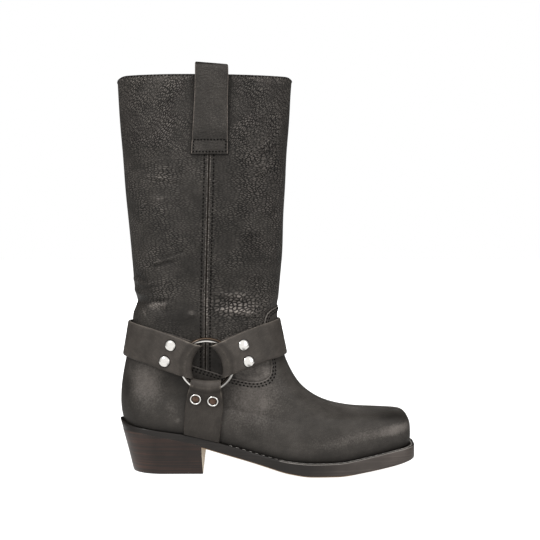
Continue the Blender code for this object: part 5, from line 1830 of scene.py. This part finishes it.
class BOOT_OT_stage(bpy.types.Operator):
    """Set the pale floor, soft lights and camera"""
    bl_idname = "boot.make_stage"
    bl_label = "Stage"

    def execute(self, context):
        scene = context.scene
        scene.view_settings.view_transform = "Standard"
        scene.view_settings.look = "None"
        bpy.ops.mesh.primitive_plane_add(size=6.0, location=(0, 0, 0))
        floor = context.object
        floor.name = "floor"
        floor.data.materials.append(new_material(
            "floor paper", Roughness=0.9, Base_Color=(0.25, 0.25, 0.25, 1.0),
            Emission_Color=(1.0, 1.0, 1.0, 1.0), Emission_Strength=1.0)[0])
        floor.visible_glossy = floor.visible_diffuse = False
        self.studio(scene)
        for name, place, wide, tall, watts, mirrored in SOFTBOXES:
            lamp = bpy.data.lights.new(name, "AREA")
            lamp.shape, lamp.size, lamp.size_y, lamp.energy = "RECTANGLE", wide, tall, watts
            lit = self.aimed(scene, name, lamp, place, LIGHT_AIM)
            lit.visible_camera, lit.visible_glossy = False, mirrored
        eye = bpy.data.cameras.new("camera")
        eye.sensor_width, eye.lens = SENSOR_WIDTH, SENSOR_WIDTH * FOCAL_PIXELS / PICTURE_PIXELS
        scene.camera = self.aimed(scene, "camera", eye, CAMERA_PLACE, CAMERA_AIM)
        return {"FINISHED"}

    def aimed(self, scene, name, data, place, target):
        """Light or camera at a place, turned to a target."""
        made = bpy.data.objects.new(name, data)
        scene.collection.objects.link(made)
        made.location = place
        made.rotation_euler = (Vector(target) - Vector(place)).to_track_quat("-Z", "Y").to_euler()
        return made

    def studio(self, scene):
        """World: white for the camera, bright in front and below for the leather and the metal."""
        scene.world = scene.world or bpy.data.worlds.new("studio")
        scene.world.use_nodes = True
        tree = scene.world.node_tree
        tree.nodes.clear()
        place = node(tree, "ShaderNodeTexCoord").outputs["Generated"]
        across, ahead, up = node(tree, "ShaderNodeSeparateXYZ", {0: place}).outputs

        def times(a, b):
            return maths(tree, "MULTIPLY", a, b)
        front, paper = ramp(tree, ahead, 0.3, -0.7), ramp(tree, up, -0.08, -0.35)
        level = maths(tree, "MAXIMUM", times(front, ramp(tree, up, -0.15, 0.5, 0.34, 1.0)), times(paper, 0.3))
        dim = times(times(ramp(tree, across, -0.05, 0.35), ramp(tree, across, 0.8, 0.5)),
                    ramp(tree, up, -0.25, -0.8, 0.0, 0.8))
        mirrored = times(maths(tree, "MAXIMUM", front, paper), maths(tree, "SUBTRACT", 1.0, dim))
        lit_glow = blend(tree, level, (0.13, 0.127, 0.124, 1.0), (1.68, 1.64, 1.6, 1.0))
        seen_glow = blend(tree, mirrored, (0.1, 0.095, 0.09, 1.0), (0.95, 0.945, 0.93, 1.0))
        rays = node(tree, "ShaderNodeLightPath").outputs
        glow = blend(tree, rays["Is Glossy Ray"], lit_glow, seen_glow)
        colour = blend(tree, rays["Is Camera Ray"], glow, (1.0, 1.0, 1.0, 1.0))
        back = node(tree, "ShaderNodeBackground", {"Color": colour, "Strength": 1.0})
        tree.links.new(back.outputs[0], node(tree, "ShaderNodeOutputWorld").inputs[0])


class BOOT_PT_panel(bpy.types.Panel):
    """Sizes, colours and pieces of the boot"""
    bl_label = "Harness boot"
    bl_space_type = "VIEW_3D"
    bl_region_type = "UI"
    bl_category = "Boot"

    def draw(self, context):
        for group in (context.scene.boot_sizes, context.scene.boot_colours):
            for key in group.bl_rna.properties.keys():
                if key not in ("rna_type", "name"):
                    self.layout.prop(group, key)
        for operator in OPERATORS:
            self.layout.operator(operator.bl_idname)


OPERATORS = (BOOT_OT_stage, BOOT_OT_shaft, BOOT_OT_foot, BOOT_OT_sole, BOOT_OT_straps, BOOT_OT_metal,
             BOOT_OT_loops, BOOT_OT_stitches)
CLASSES = (BootSizes, BootColours) + OPERATORS + (BOOT_PT_panel,)


def register():
    for kind in CLASSES:
        bpy.utils.register_class(kind)
    bpy.types.Scene.boot_sizes = PointerProperty(type=BootSizes)
    bpy.types.Scene.boot_colours = PointerProperty(type=BootColours)


def unregister():
    del bpy.types.Scene.boot_sizes, bpy.types.Scene.boot_colours
    for kind in reversed(CLASSES):
        bpy.utils.unregister_class(kind)


def main():
    register()
    for operator in OPERATORS:
        group, name = operator.bl_idname.split(".")
        getattr(getattr(bpy.ops, group), name)()


if __name__ == "__main__":
    main()
